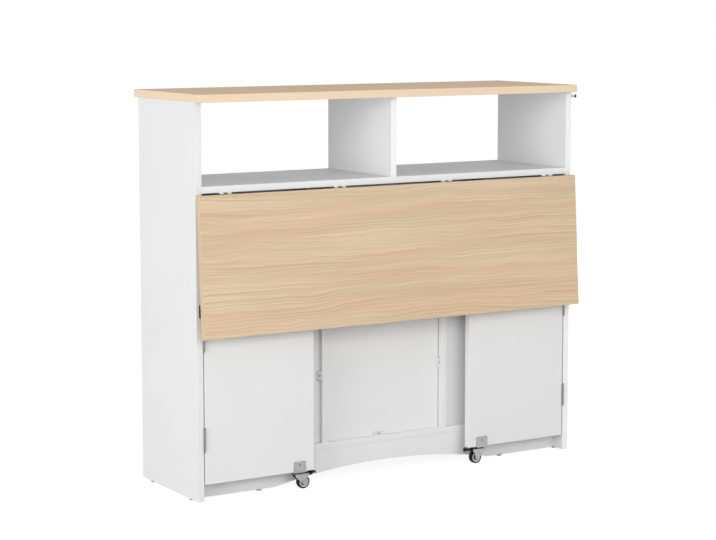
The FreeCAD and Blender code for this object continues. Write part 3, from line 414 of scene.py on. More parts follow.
        toned = look.mix(look.spread(blush, self.blush_ramp), self.plain, self.rosy)
        toned = look.mix(look.spread(shade, self.dark_ramp), toned, self.deep)
        toned = look.mix(look.spread(shade, self.light_ramp), toned, self.pale)
        strength = look.spread(fade, self.fade_ramp)
        early = look.math("MULTIPLY", look.spread(ring, self.early_ramp), strength)
        late = look.math("MULTIPLY", look.spread(ring, self.late_ramp), strength)
        drawn = look.mix(late, look.mix(early, toned, self.pale), self.deep)
        fine = look.mix(look.spread(fibres, self.fibre_ramp), drawn, self.deep)
        return look.mix(look.spread(pores, self.pore_ramp), fine, self.deep)


@dataclass(frozen=True)
class WhiteBoard:
    """White board: a skin with a faint orange-peel relief, and a brighter band on its edges."""

    name: str
    white: Colour = (0.835, 0.836, 0.838, 1.0)
    cloud: Colour = (0.800, 0.801, 0.804, 1.0)
    band: Colour | None = None
    band_way: Triple = ALONG_Y
    roughness: float = 0.52
    rough_swing: Swing = (0.05, 0.06)
    gloss: float = 0.22
    cloud_scale: float = 7.0
    cloud_ramp: Ramp = (0.35, 0.75, 0.0, 0.5)
    dab_scale: float = 160.0
    peel_scale: float = 900.0
    relief: float = 0.3
    relief_depth: float = 0.02 * MILLIMETRE

    def make(self) -> Finish:
        """Build the clouded white, its edge band and its relief.

        Returns:
            The finished material.
        """
        material = bpy.data.materials.new(self.name)
        look = Shading(material)
        spot = look.local(ORIGIN)
        clouds = look.noise(spot, self.cloud_scale, detail=4.0)
        peel = look.noise(spot, self.peel_scale)
        dabs = look.noise(spot, self.dab_scale)
        colour = look.mix(look.spread(clouds, self.cloud_ramp), self.white, self.cloud)
        if self.band:
            colour = look.mix(look.square_to(self.band_way, EDGE_ON), colour, self.band)
        look.wire(base_color=colour, specular_ior_level=self.gloss)
        look.roughen(dabs, self.roughness, self.rough_swing)
        look.relief(peel, self.relief, self.relief_depth)
        return material


@dataclass(frozen=True)
class Metal:
    """Bare or plated metal with fine rubbing marks, painted shade across its ends or a dark band on top."""

    name: str
    bright: Colour = (0.51, 0.51, 0.505, 1.0)
    dull: Colour = grey(0.32)
    roughness: float = 0.34
    rough_swing: Swing = (0.08, 0.1)
    rub: Triple = (60.0, 60.0, 1500.0)
    plug: Colour | None = None
    plug_at: Triple = ORIGIN
    plug_half: float = 2.6 * MILLIMETRE
    seal: Colour | None = None
    seal_from: float = 0.0
    spangle_scale: float = 420.0
    tone_ramp: Ramp = (0.8, 1.25, 0.0, 1.0)
    relief: float = 0.2
    relief_depth: float = 0.02 * MILLIMETRE

    def make(self) -> Finish:
        """Build the spangled tone, the rubbing marks, the gloss, any painted shade on the ends and any dark
        top band.

        Returns:
            The finished material.
        """
        material = bpy.data.materials.new(self.name)
        look = Shading(material)
        spot = look.local(ORIGIN)
        spangle = look.noise(spot, self.spangle_scale, detail=3.0)
        marks = look.noise(look.stretched(spot, self.rub))
        tone = look.spread(look.math("ADD", spangle, marks), self.tone_ramp)
        colour = look.mix(tone, self.bright, self.dull)
        # Painted shade: a dark strip across each end face stands in for the shade at the rail's ends.
        if self.plug:
            aside = look.math("ABSOLUTE", look.along(look.local(self.plug_at), ALONG_X))
            in_end_strip = look.math("LESS_THAN", aside, self.plug_half)
            on_end_shade = look.math("MULTIPLY", look.square_to(ALONG_Y, SQUARE_ON), in_end_strip)
            colour = look.mix(on_end_shade, colour, self.plug)
        look.wire(metallic=1.0)
        # Above a height the colour turns dark and stops being metal.
        if self.seal:
            dark_topped = look.math("GREATER_THAN", look.along(spot, ALONG_Z), self.seal_from)
            colour = look.mix(dark_topped, colour, self.seal)
            look.wire(metallic=look.math("SUBTRACT", 1.0, dark_topped))
        look.wire(base_color=colour)
        look.roughen(marks, self.roughness, self.rough_swing)
        look.relief(marks, self.relief, self.relief_depth)
        return material


@dataclass(frozen=True)
class Moulding:
    """Moulded plastic or rubber with a fine spark-eroded grain, and a core of painted shade, in another
    tone, if wanted.
    """

    name: str
    tone: Colour
    worn: Colour
    roughness: float = 0.5
    gloss: float = 0.4
    rough_swing: Swing = (0.06, 0.08)
    core: Colour | None = None
    core_at: Triple = ORIGIN
    core_radius: float = 8.4 * MILLIMETRE
    bloom_scale: float = 90.0
    bloom_ramp: Ramp = (0.42, 0.72, 0.0, 0.8)
    grain_scale: float = 1400.0
    relief: float = 0.4
    relief_depth: float = 0.04 * MILLIMETRE

    def make(self) -> Finish:
        """Build the tone, a slight bloom, any core of painted shade and the moulded grain.

        Returns:
            The finished material.
        """
        material = bpy.data.materials.new(self.name)
        look = Shading(material)
        spot = look.local(ORIGIN)
        bloom = look.noise(spot, self.bloom_scale, detail=4.0)
        grain = look.noise(spot, self.grain_scale, detail=1.0)
        colour = look.mix(look.spread(bloom, self.bloom_ramp), self.tone, self.worn)
        # Painted shade: a dark disc about the given axis stands in for the shade in a recess.
        if self.core:
            flat = look.stretched(look.local(self.core_at), (1.0, 0.0, 1.0))
            out = look.add("ShaderNodeVectorMath", {0: flat}, operation="LENGTH").outputs["Value"]
            colour = look.mix(look.math("LESS_THAN", out, self.core_radius), colour, self.core)
        look.wire(base_color=colour, specular_ior_level=self.gloss)
        look.roughen(bloom, self.roughness, self.rough_swing)
        look.relief(grain, self.relief, self.relief_depth)
        return material


@dataclass(frozen=True)
class Finishes:
    """The finishes that several sub-assemblies share."""

    white: Finish
    hardboard: Finish
    steel: Finish


def dress(nodes: Iterable[str], material: Finish) -> None:
    """Give construction nodes a finish.

    Args:
        nodes: The nodes' names.
        material: The finish that they all take.
    """
    for name in nodes:
        mesh = bpy.data.objects[name].data
        mesh.materials.clear()
        mesh.materials.append(material)
        LOG.info("dressed %s in %s", name, material.name)


def loft(work: bmesh.types.BMesh, sections: list[list[Vector]]) -> None:
    """Skin a row of cross sections into a closed form.

    Args:
        work: The mesh that takes the form.
        sections: The corners of each section in order, as many in each.
    """
    rings = [[work.verts.new(point) for point in section] for section in sections]
    for first, second in zip(rings, rings[1:]):
        for i, here in enumerate(first):
            work.faces.new((first[i - 1], here, second[i], second[i - 1]))
    work.faces.new(rings[0])
    work.faces.new(rings[-1])


def set_trim(name: str, work: bmesh.types.BMesh, finish: Moulding) -> None:
    """Turn lofted forms into one dark piece on the carcass, for trim and for beads of painted shadow.

    Args:
        name: The piece's name.
        work: The forms, freed afterwards.
        finish: The trim's finish.
    """
    bmesh.ops.recalc_face_normals(work, faces=work.faces)
    mesh = bpy.data.meshes.new(name)
    work.to_mesh(mesh)
    work.free()
    mesh.materials.append(finish.make())
    piece = bpy.data.objects.new(name, mesh)
    bpy.context.scene.collection.objects.link(piece)
    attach(piece, "carcass")
    LOG.info("set %s on carcass", name)


@dataclass
class Screws:
    """Cross-recess screw heads, set on surfaces by a node tree.

    The recess has its length and width as shares of the head's top radius, its depth of the head's height.
    """

    material: Finish
    slot: str = "zinc_steel"
    sides: int = 20
    recess_long: float = 1.25
    recess_wide: float = 0.28
    recess_deep: float = 0.7

    def __post_init__(self) -> None:
        """Build the tree that every row of screws uses."""
        self.tree = self.make_tree()

    def make_tree(self) -> bpy.types.GeometryNodeTree:
        """Build the tree that stands one head on every point.

        Returns:
            A tree with named inputs for the head's sizes and its finish.
        """
        tree = bpy.data.node_groups.new("screw_heads", "GeometryNodeTree")
        face = tree.interface
        face.new_socket("Geometry", in_out="INPUT", socket_type="NodeSocketGeometry")
        for name in ("Head Radius", "Head Height", "Top Radius", "Recess Depth"):
            face.new_socket(name, in_out="INPUT", socket_type="NodeSocketFloat")
        face.new_socket("Finish", in_out="INPUT", socket_type="NodeSocketMaterial")
        face.new_socket("Geometry", in_out="OUTPUT", socket_type="NodeSocketGeometry")
        given = add_node(tree, "NodeGroupInput").outputs
        spots = {
            "Points": given["Geometry"],
            "Instance": self.head(tree, given),
            "Rotation": self.turn(tree),
        }
        stood = add_node(tree, "GeometryNodeInstanceOnPoints", spots)
        real = add_node(tree, "GeometryNodeRealizeInstances", {"Geometry": stood.outputs[0]})
        dressed = {"Geometry": real.outputs[0], "Material": given["Finish"]}
        done = add_node(tree, "GeometryNodeSetMaterial", dressed)
        add_node(tree, "NodeGroupOutput", {"Geometry": done.outputs[0]})
        return tree

    def head(self, tree: NodeTree, given: bpy.types.NodeOutputs) -> Socket:
        """Shape one head, a low cone with a cross cut into its top.

        Args:
            tree: The tree that takes the nodes.
            given: The head's sizes.

        Returns:
            The head's mesh.
        """
        def times(value: Socket, factor: float) -> Socket:
            """Multiply a size by a number."""
            return add_node(tree, "ShaderNodeMath", {0: value, 1: factor}, operation="MULTIPLY").outputs[0]

        cone = {
            "Vertices": self.sides,
            "Radius Top": given["Top Radius"],
            "Radius Bottom": given["Head Radius"],
            "Depth": given["Head Height"],
        }
        blank = add_node(tree, "GeometryNodeMeshCone", cone).outputs["Mesh"]
        long = times(given["Top Radius"], self.recess_long)
        wide = times(given["Top Radius"], self.recess_wide)
        # A cutting bar has its middle at the head's top, so it is twice as deep as the recess.
        deep = times(given["Recess Depth"], 2.0)
        lift = add_node(tree, "ShaderNodeCombineXYZ", {"Z": given["Head Height"]}).outputs[0]
        cut = add_node(tree, "GeometryNodeMeshBoolean", operation="DIFFERENCE", solver="EXACT")
        tree.links.new(blank, cut.inputs["Mesh 1"])
        for x, y in ((long, wide), (wide, long)):
            size = add_node(tree, "ShaderNodeCombineXYZ", {"X": x, "Y": y, "Z": deep}).outputs[0]
            bar = add_node(tree, "GeometryNodeMeshCube", {"Size": size}).outputs["Mesh"]
            raised = add_node(tree, "GeometryNodeTransform", {"Geometry": bar, "Translation": lift})
            tree.links.new(raised.outputs[0], cut.inputs["Mesh 2"])
        return cut.outputs["Mesh"]

    def turn(self, tree: NodeTree) -> Socket:
        """Stand each head upright on its surface and turn it about its own axis.

        Args:
            tree: The tree that takes the nodes.

        Returns:
            The rotation of each head.
        """
        stored = "GeometryNodeInputNamedAttribute"
        facing = add_node(tree, stored, {"Name": "facing"}, data_type="FLOAT_VECTOR").outputs[0]
        spin = add_node(tree, stored, {"Name": "spin"}, data_type="FLOAT").outputs[0]
        upright = add_node(tree, "FunctionNodeAlignRotationToVector", {"Vector": facing}, axis="Z")
        turned = add_node(tree, "FunctionNodeAxisAngleToRotation", {"Axis": ALONG_Z, "Angle": spin})
        both = {"Rotation": upright.outputs[0], "Rotate By": turned.outputs[0]}
        return add_node(tree, "FunctionNodeRotateRotation", both, rotation_space="LOCAL").outputs[0]

    def drive(self, name: str, body: str, head: Head, places: list[Place]) -> None:
        """Set a row of screws and make it ride on a body, as a plain mesh.

        Args:
            name: The piece's name.
            body: The body that holds the screws.
            head: The form of the heads.
            places: Where the heads sit.
        """
        mesh = bpy.data.meshes.new(name)
        mesh.from_pydata([place.spot for place in places], [], [])
        facing = mesh.attributes.new("facing", "FLOAT_VECTOR", "POINT")
        facing.data.foreach_set("vector", [part for place in places for part in place.facing])
        spin = mesh.attributes.new("spin", "FLOAT", "POINT")
        spin.data.foreach_set("value", [i * GOLDEN_TURN for i in range(len(places))])
        piece = bpy.data.objects.new(name, mesh)
        bpy.context.scene.collection.objects.link(piece)
        radius, height, top = (value * MILLIMETRE for value in head.value)
        sizes = {
            "Head Radius": radius,
            "Head Height": height,
            "Top Radius": top,
            "Recess Depth": self.recess_deep * height,
            "Finish": self.material,
        }
        modifier = piece.modifiers.new("heads", "NODES")
        modifier.node_group = self.tree
        for socket in self.tree.interface.items_tree:
            if socket.in_out == "INPUT" and socket.name in sizes:
                modifier[socket.identifier] = sizes[socket.name]
        ready = piece.evaluated_get(bpy.context.evaluated_depsgraph_get())
        piece.data = bpy.data.meshes.new_from_object(ready)
        piece.modifiers.clear()
        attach(piece, body)
        LOG.info("set %d screws in %s on %s", len(places), name, body)


@dataclass
class Carcass:
    """The fixed boards, back panels, clips, pegs and glides."""

    boards: tuple[str, ...] = (
        "side_panel_right", "upper_divider", "cupboard_shelf_left", "cupboard_shelf_right", "centre_shelf",
        "drawer_deck",
    )
    rails: tuple[str, ...] = (
        "rear_apron", "front_apron", "drawer_runners", "side_panel_left", "lower_divider_left",
        "lower_divider_right", "bottom_panel",
    )
    backs: tuple[str, ...] = ("back_panel_left", "back_panel_centre", "back_panel_right")
    edge_white: Colour = grey(0.95)
    shelf_white: Colour = (0.72, 0.72, 0.722, 1.0)
    shelf_cloud: Colour = (0.69, 0.69, 0.692, 1.0)
    top_band: Colour = (0.885, 0.695, 0.50, 1.0)
    top_backing: Colour = grey(0.80)
    top_seed: float = 3.7
    clip_pale: Colour = grey(0.74)
    clip_worn: Colour = grey(0.66)
    glide_grey: Colour = (0.30, 0.30, 0.31, 1.0)
    glide_worn: Colour = grey(0.38)

    def build(self, finishes: Finishes, screws: Screws) -> None:
        """Dress the boards and set the clip screws.

        Args:
            finishes: The shared finishes.
            screws: The screw maker.
        """
        dress(self.boards, WhiteBoard("edged_laminate", band=self.edge_white).make())
        # Painted shade: the table shelf takes a darker white than the other boards, for the shade it sits in
        # under the top.
        shaded_matt = WhiteBoard(
            "shelf_laminate", self.shelf_white, self.shelf_cloud, self.edge_white, roughness=0.6, gloss=0.15,
        )
        dress(["table_shelf"], shaded_matt.make())
        dress(self.rails, finishes.white)
        dress(self.backs, finishes.hardboard)
        top = OakLaminate(
            "oak_top", tuple(span_of("top_panel").middle), self.top_band, seed=self.top_seed,
            backing=self.top_backing, roughness=0.62, gloss=0.1,
        )
        dress(["top_panel"], top.make())
        dress(["shelf_pegs"], finishes.steel)
        dress(["back_panel_clips"], Moulding("clip_plastic", self.clip_pale, self.clip_worn).make())
        dress(["glide_feet"], Moulding("glide_plastic", self.glide_grey, self.glide_worn).make())
        backward = Vector((0.0, -1.0, 0.0))
        places = []
        for clip in solids_of("back_panel_clips"):
            places.append(Place(Vector((clip.middle.x, clip.low.y, clip.middle.z)), backward))
        screws.drive("clip_screws", "carcass", Head.SMALL_PAN, places)


@dataclass
class DropLeaf:
    """The hinged oak leaf and its four hinges."""

    joint: str = "leaf_hinge"
    seed: float = 1.3
    band: Colour = (0.67, 0.51, 0.35, 1.0)
    # Painted shadow along the leaf's hinge edge.
    raw_edge: Colour = (0.015, 0.013, 0.012, 1.0)
    zinc: Colour = (0.90, 0.90, 0.89, 1.0)
    zinc_dull: Colour = grey(0.74)
    steel: Colour = grey(0.27)
    steel_dull: Colour = grey(0.17)
    screw_out: float = 11.3 * MILLIMETRE
    screw_apart: float = 9.0 * MILLIMETRE
    plate_off: float = 1.0 * MILLIMETRE

    def build(self, frame: dict, screws: Screws) -> None:
        """Dress the leaf along its own hanging plane, and its hinges.

        Args:
            frame: The loaded construction.
            screws: The screw maker.
        """
        hinge = next(item for item in frame["joints"] if item["name"] == self.joint)
        tilt = math.radians(hinge["range_deg"][1])
        pivot = tuple(hinge["pos_m"])
        oak = OakLaminate("oak_leaf", pivot, self.band, tilt, self.seed, hinge_edge=self.raw_edge)
        dress(["drop_leaf"], oak.make())
        zinc = Metal("bright_zinc", self.zinc, self.zinc_dull, roughness=0.3)
        dress(["leaf_hinge_shelf_plates"], zinc.make())
        dark = Metal("hinge_steel", self.steel, self.steel_dull, roughness=0.38)
        dress(["leaf_hinge_leaf_plates", "leaf_hinge_pins"], dark.make())
        self.hinge_screws(tilt, screws)

    def hinge_screws(self, tilt: float, screws: Screws) -> None:
        """Set two countersunk screws in every plate of the hinges.

        Args:
            tilt: How far the leaf hangs from level.
            screws: The screw maker.
        """
        outward = Vector((0.0, -math.sin(tilt), math.cos(tilt)))
        downward = Vector((0.0, -math.cos(tilt), -math.sin(tilt)))
        plates = {
            "leaf_hinge_screws": ("leaf", downward, outward),
            "shelf_hinge_screws": ("carcass", Vector(ALONG_Y), Vector(ALONG_Z)),
        }
        for name, (body, away, into) in plates.items():
            places = []
            for pin in solids_of("leaf_hinge_pins"):
                middle = pin.middle + self.screw_out * away + self.plate_off * into
                for step in (-self.screw_apart, self.screw_apart):
                    places.append(Place(middle + Vector((step, 0.0, 0.0)), -into))
            screws.drive(name, body, Head.COUNTERSUNK, places)


@dataclass
class LeafStops:
    """Rubber stops on the side panels' edges, which keep the hanging leaf off the boards.

    The profile gives, at shares of the stop's length, the share of its full width.
    """

    wide: float = 8.0 * MILLIMETRE
    tall: float = 30.0 * MILLIMETRE
    long: float = 18.0 * MILLIMETRE
    corner: float = 2.2 * MILLIMETRE
    inset: float = 6.5 * MILLIMETRE
    height: float = 437.0 * MILLIMETRE
    corner_steps: int = 4
    profile: tuple[tuple[float, float], ...] = (
        (0.0, 1.0), (0.10, 1.0), (0.14, 0.84), (0.90, 0.76), (0.98, 0.68), (1.0, 0.56),
    )
    tone: Colour = (0.040, 0.024, 0.020, 1.0)
    worn: Colour = (0.056, 0.036, 0.030, 1.0)

    def section(self, spot: Vector, share: float) -> list[Vector]:
        """Give one cross section of a stop, a rectangle with round corners.

        Args:
            spot: The middle of the section.
            share: How much of the full width it has.

        Returns:
            The corners of the section in order.
        """
        cut = (1.0 - share) * self.wide / 2
        half_wide = self.wide / 2 - cut - self.corner * share
        half_tall = self.tall / 2 - cut - self.corner * share
        points = []
        for quarter, (x, z) in enumerate(((1, 1), (-1, 1), (-1, -1), (1, -1))):
            for step in range(self.corner_steps + 1):
                angle = (quarter + step / self.corner_steps) * math.pi / 2
                bend = self.corner * share * Vector((math.cos(angle), 0.0, math.sin(angle)))
                points.append(spot + Vector((x * half_wide, 0.0, z * half_tall)) + bend)
        return points

    def build(self) -> None:
        """Loft one stop on each side panel and dress both in dark rubber."""
        work = bmesh.new()
        for side in Side:
            panel = span_of(f"side_panel_{side.word}")
            outer = panel.high.x if side is Side.RIGHT else panel.low.x
            across = outer - side.value * (self.inset + self.wide / 2)
            sections = []
            for reach, share in self.profile:
                spot = Vector((across, panel.low.y - reach * self.long, self.height))
                sections.append(self.section(spot, share))
            loft(work, sections)
        set_trim("leaf_stops", work, Moulding("stop_rubber", self.tone, self.worn, roughness=0.75))


@dataclass
class JointLines:
    """Thin dark beads of painted shadow, for the shade in the gaps where the centre back panel meets the
    lower dividers.
    """

    wide: float = 0.7 * MILLIMETRE
    steps: int = 4
    shade: Colour = grey(0.10)
    worn: Colour = grey(0.13)

    def build(self) -> None:
        """Lay a quarter-round bead in the corner on each side of the panel."""
        work = bmesh.new()
        back = span_of("back_panel_centre").low.y
        ends = (span_of("bottom_panel").high.z, span_of("table_shelf").low.z)
        for side in Side:
            divider = span_of(f"lower_divider_{side.word}")
            wall = divider.low.x if side is Side.RIGHT else divider.high.x
            corners = [(wall, back)]
            for step in range(self.steps + 1):
                angle = step / self.steps * math.pi / 2
                aside = side.value * self.wide * math.cos(angle)
                corners.append((wall - aside, back - self.wide * math.sin(angle)))
            loft(work, [[Vector((x, y, z)) for x, y in corners] for z in ends])
        # Painted shadow: the dark beads stand in for the shade between the panel and each divider.
        dark = Moulding("joint_shade", self.shade, self.worn, roughness=0.8, gloss=0.1)
        set_trim("joint_lines", work, dark)


@dataclass
class Gates:
    """The two gates that carry the raised leaf, with their hinges and rest pads."""

    edge_white: Colour = grey(0.88)
    steel: Colour = grey(0.36)
    steel_dull: Colour = grey(0.23)
    pad_tone: Colour = (0.045, 0.042, 0.040, 1.0)
    pad_worn: Colour = (0.065, 0.062, 0.060, 1.0)

    def build(self) -> None:
        """Dress the gates and their fittings."""
        # Painted light: the gates' side edges take a whiter band, to lighten the shade in the narrow gaps
        # beside them.
        edged = WhiteBoard("gate_laminate", band=self.edge_white, band_way=ALONG_X)
        dress([f"gate_{side.word}" for side in Side], edged.make())
        steel = Metal("gate_hinge_steel", self.steel, self.steel_dull, roughness=0.36)
        dress(["gate_hinge_fixed_leaves", "gate_hinge_gate_leaves", "gate_hinge_pins"], steel.make())
        pad = Moulding("pad_plastic", self.pad_tone, self.pad_worn, roughness=0.8)
        dress(["gate_rest_pads"], pad.make())


@dataclass
class Casters:
    """The braked swivel casters under the gates."""

    slot_up: float = 7.0 * MILLIMETRE
    race_tall: float = 3.6 * MILLIMETRE
    tyre_black: Colour = grey(0.012)
    tyre_worn: Colour = grey(0.022)
    pedal_black: Colour = grey(0.010)
    pedal_worn: Colour = grey(0.018)
    seal_black: Colour = grey(0.015)
    hub_pale: Colour = (0.66, 0.66, 0.67, 1.0)
    hub_worn: Colour = (0.60, 0.60, 0.61, 1.0)
    hub_core: Colour = grey(0.09)

    def build(self, finishes: Finishes, screws: Screws) -> None:
        """Dress both casters and screw their brackets to the gates.

        Args:
            finishes: The shared finishes.
            screws: The screw maker.
        """
        tyre = Moulding("tyre_rubber", self.tyre_black, self.tyre_worn, roughness=0.62, gloss=0.12)
        pedal = Moulding("pedal_plastic", self.pedal_black, self.pedal_worn, roughness=0.42, gloss=0.16)
        rubber = tyre.make()
        plastic = pedal.make()
        under_race = span_of("caster_fork_left").high.z - self.race_tall
        dark_topped = Metal("fork_steel", seal=self.seal_black, seal_from=under_race).make()
        places = []
        for side in Side:
            plated = ("caster_bracket", "caster_axle", "brake_pin")
            dress([f"{part}_{side.word}" for part in plated], finishes.steel)
            dress([f"caster_fork_{side.word}"], dark_topped)
            dress([f"caster_tyre_{side.word}"], rubber)
            dress([f"brake_pedal_{side.word}"], plastic)
            middle = tuple(span_of(f"caster_hub_{side.word}").middle)
            # Painted shade: the hub's middle is drawn dark for the shade in its recess round the fork.
            hub = Moulding(
                f"hub_plastic_{side.word}", self.hub_pale, self.hub_worn, roughness=0.45, core=self.hub_core,
                core_at=middle,
            )
            dress([f"caster_hub_{side.word}"], hub.make())
            bracket = span_of(f"caster_bracket_{side.word}")
            spot = Vector((bracket.middle.x, bracket.low.y, bracket.high.z - self.slot_up))
            places.append(Place(spot, Vector((0.0, -1.0, 0.0))))
        dress(["caster_kingpins"], finishes.steel)
        screws.drive("bracket_screws", "carcass", Head.PAN, places)


@dataclass
class Fronts:
    """The doors and the drawer on the far side."""

    screw_rise: float = 16.0 * MILLIMETRE
    screw_in: float = 8.3 * MILLIMETRE
    half_gap: float = 0.3 * MILLIMETRE
    nickel: Colour = (0.68, 0.67, 0.65, 1.0)
    nickel_dull: Colour = (0.55, 0.54, 0.52, 1.0)

    def build(self, finishes: Finishes, screws: Screws) -> None:
        """Dress the doors and the drawer, and set the screws behind their knobs.

        Args:
            finishes: The shared finishes.
            screws: The screw maker.
        """
        nickel = Metal("knob_metal", self.nickel, self.nickel_dull, roughness=0.28).make()
        dress(["door_hinge_fixed_leaves", "door_hinge_pins"], finishes.steel)
        for side in Side:
            door = f"door_{side.word}"
            knob = f"door_knob_{side.word}"
            dress([door], finishes.white)
            dress([f"door_hinge_leaves_{side.word}"], finishes.steel)
            dress([knob], nickel)
            behind = self.behind(knob, door)
            screws.drive(f"knob_screw_{side.word}", door, Head.PAN, [behind])
        self.hinge_screws(screws)
        dress(["drawer_front", "drawer_wrap"], finishes.white)
        dress(["drawer_floor"], finishes.hardboard)
        dress(["drawer_knob"], nickel)
        behind = self.behind("drawer_knob", "drawer_front")
        screws.drive("knob_screw_drawer", "drawer", Head.PAN, [behind])

    def behind(self, knob: str, board: str) -> Place:
        """Give the place on a board's inner face that is behind its knob."""
        middle = span_of(knob).middle
        return Place(Vector((middle.x, span_of(board).low.y, middle.z)), Vector((0.0, -1.0, 0.0)))

    def hinge_screws(self, screws: Screws) -> None:
        """Set two countersunk screws in every plate of the doors' hinges.

        Args:
            screws: The screw maker.
        """
        fixed = []
        swung = {side: [] for side in Side}
        for pin in solids_of("door_hinge_pins"):
            side = Side.LEFT if pin.middle.x < 0 else Side.RIGHT
            outward = Vector((side.value, 0.0, 0.0))
            for rise in (-self.screw_rise, self.screw_rise):
                middle = pin.middle + Vector((0.0, -self.screw_in, rise))
                fixed.append(Place(middle + self.half_gap * outward, -outward))
                swung[side].append(Place(middle - self.half_gap * outward, outward))
        screws.drive("hinge_screws_fixed", "carcass", Head.COUNTERSUNK, fixed)
        for side, places in swung.items():
            screws.drive(f"hinge_screws_{side.word}", f"door_{side.word}", Head.COUNTERSUNK, places)


@dataclass
class TowelRail:
    """The rail on the right side panel."""

    bright: Colour = grey(0.82)
    dull: Colour = grey(0.68)
    post_bright: Colour = grey(0.93)
    post_dull: Colour = grey(0.85)
    roughness: float = 0.26
    rub: Triple = (1500.0, 40.0, 1500.0)
    plug_black: Colour = grey(0.03)

    def build(self) -> None:
        """Dress the rail and its posts in bright steel, with painted shade across the rail's ends."""
        rail = Metal(
            "rail_steel", self.bright, self.dull, self.roughness, rub=self.rub, plug=self.plug_black,
            plug_at=tuple(span_of("towel_rail").middle),
        )
        dress(["towel_rail"], rail.make())
        posts = Metal("post_steel", self.post_bright, self.post_dull, self.roughness)
        dress(["towel_rail_posts"], posts.make())


@dataclass(frozen=True)
class Lamp:
    """A soft square lamp: where it hangs, the length of its sides and its power in watts."""

    name: str
    spot: Triple
    wide: float
    power: float


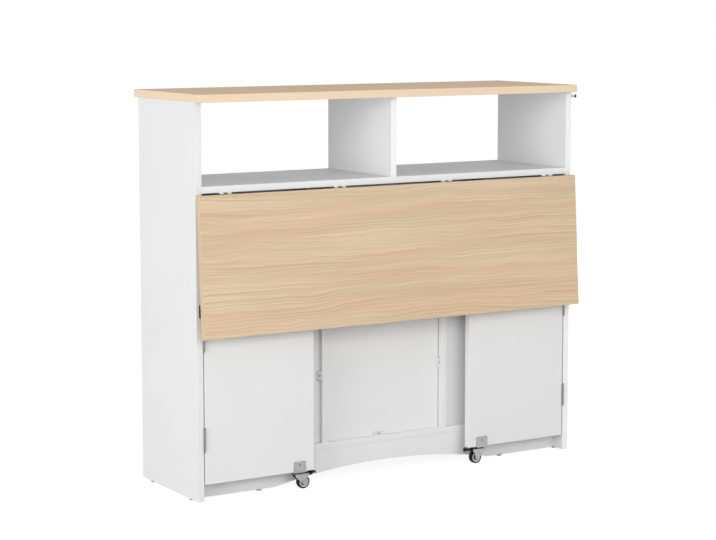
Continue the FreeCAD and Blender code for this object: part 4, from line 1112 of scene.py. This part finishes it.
@dataclass
class Studio:
    """The floor, the lights, the surrounding white and the camera."""

    floor_reach: float = 40.0
    floor_glow: float = 0.90
    floor_catch: float = 0.26
    floor_bounce: float = 0.65
    ambient: float = 0.43
    lamps: tuple[Lamp, ...] = (
        Lamp("key_lamp", (-2.4, -4.2, 2.4), 2.0, 45.0),
        Lamp("front_lamp", (1.0, -4.6, 1.6), 3.0, 56.0),
        Lamp("side_lamp", (-4.4, -1.5, 1.0), 1.6, 71.0),
        Lamp("back_lamp", (-3.0, 3.2, 0.9), 2.0, 20.0),
        Lamp("far_lamp", (2.6, 3.6, 0.6), 2.0, 68.0),
        Lamp("top_lamp", (0.0, -0.9, 4.2), 3.5, 20.0),
    )
    lamp_aim: Triple = (0.0, 0.0, 0.45)
    eye: Triple = (-2.4825, -4.0232, 1.1167)
    yaw: float = -31.383
    pitch: float = 6.459
    lens: float = 98.96
    frame_shift: float = -0.06
    sensor: float = 36.0
    far_end: float = 100.0

    def build(self) -> None:
        """Set up everything round the cart."""
        self.floor()
        self.surround()
        for lamp in self.lamps:
            self.hang(lamp)
        self.camera()

    def choose(self, look: Shading, output: str, lit: Socket, seen: Socket) -> None:
        """Show one shader to rays that look at a surface or its mirror image, another to rays of light.

        Args:
            look: The tree that takes the nodes.
            output: The name of the tree's output node.
            lit: The shader for rays that carry light.
            seen: The shader for rays that look.
        """
        path = look.add("ShaderNodeLightPath").outputs
        mirrored = look.math("MAXIMUM", path["Is Glossy Ray"], path["Is Transmission Ray"])
        looking = look.math("MAXIMUM", path["Is Camera Ray"], mirrored)
        both = look.add("ShaderNodeMixShader", {0: looking, 1: lit, 2: seen})
        look.tree.links.new(both.outputs[0], look.tree.nodes[output].inputs["Surface"])

    def floor(self) -> None:
        """Lay a pale floor that looks white and keeps the cart's shadow."""
        mesh = bpy.data.meshes.new("floor")
        reach = self.floor_reach
        corners = [(-reach, -reach, 0.0), (reach, -reach, 0.0), (reach, reach, 0.0), (-reach, reach, 0.0)]
        mesh.from_pydata(corners, [], [(0, 1, 2, 3)])
        material = bpy.data.materials.new("pale_floor")
        look = Shading(material)
        catch = look.add("ShaderNodeBsdfDiffuse", {"Color": grey(self.floor_catch)})
        glow = look.add("ShaderNodeEmission", {"Color": grey(1.0), "Strength": self.floor_glow})
        shown = look.add("ShaderNodeAddShader", {0: catch.outputs[0], 1: glow.outputs[0]})
        bounce = look.add("ShaderNodeBsdfDiffuse", {"Color": grey(self.floor_bounce)})
        self.choose(look, "Material Output", bounce.outputs[0], shown.outputs[0])
        mesh.materials.append(material)
        plane = bpy.data.objects.new("floor", mesh)
        bpy.context.scene.collection.objects.link(plane)

    def surround(self) -> None:
        """Surround the cart with a soft even light that looks white."""
        world = bpy.data.worlds.new("white_surround")
        bpy.context.scene.world = world
        look = Shading(world)
        dim = look.add("ShaderNodeBackground", {"Color": grey(1.0), "Strength": self.ambient})
        bright = look.add("ShaderNodeBackground", {"Color": grey(1.0), "Strength": 1.0})
        self.choose(look, "World Output", dim.outputs[0], bright.outputs[0])

    def hang(self, lamp: Lamp) -> None:
        """Hang a lamp that looks at the cart's middle and doesn't show in gloss.

        Args:
            lamp: The lamp's place, size and power.
        """
        light = bpy.data.lights.new(lamp.name, "AREA")
        light.size = lamp.wide
        light.energy = lamp.power
        hung = bpy.data.objects.new(lamp.name, light)
        hung.location = lamp.spot
        aim = Vector(self.lamp_aim) - Vector(lamp.spot)
        hung.rotation_euler = aim.to_track_quat("-Z", "Y").to_euler()
        hung.visible_glossy = False
        bpy.context.scene.collection.objects.link(hung)

    def camera(self) -> None:
        """Stand the camera where the photograph was taken."""
        data = bpy.data.cameras.new("camera")
        data.sensor_fit = "HORIZONTAL"
        data.sensor_width = self.sensor
        data.lens = self.lens
        data.shift_y = self.frame_shift
        data.clip_end = self.far_end
        camera = bpy.data.objects.new("camera", data)
        camera.location = self.eye
        camera.rotation_euler = (math.radians(90.0 - self.pitch), 0.0, math.radians(self.yaw))
        bpy.context.scene.collection.objects.link(camera)
        bpy.context.scene.camera = camera


def main() -> None:
    """Load the construction, dress every sub-assembly and set the studio round it."""
    logging.basicConfig(level=logging.INFO, format="%(message)s")
    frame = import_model()
    bpy.context.scene.view_settings.view_transform = "Standard"
    finishes = Finishes(
        white=WhiteBoard("white_laminate").make(),
        hardboard=WhiteBoard("white_hardboard", roughness=0.5, peel_scale=500.0).make(),
        steel=Metal("zinc_steel").make(),
    )
    screws = Screws(finishes.steel)
    Carcass().build(finishes, screws)
    DropLeaf().build(frame, screws)
    LeafStops().build()
    JointLines().build()
    Gates().build()
    Casters().build(finishes, screws)
    Fronts().build(finishes, screws)
    TowelRail().build()
    Studio().build()


if __name__ == "__main__":
    main()
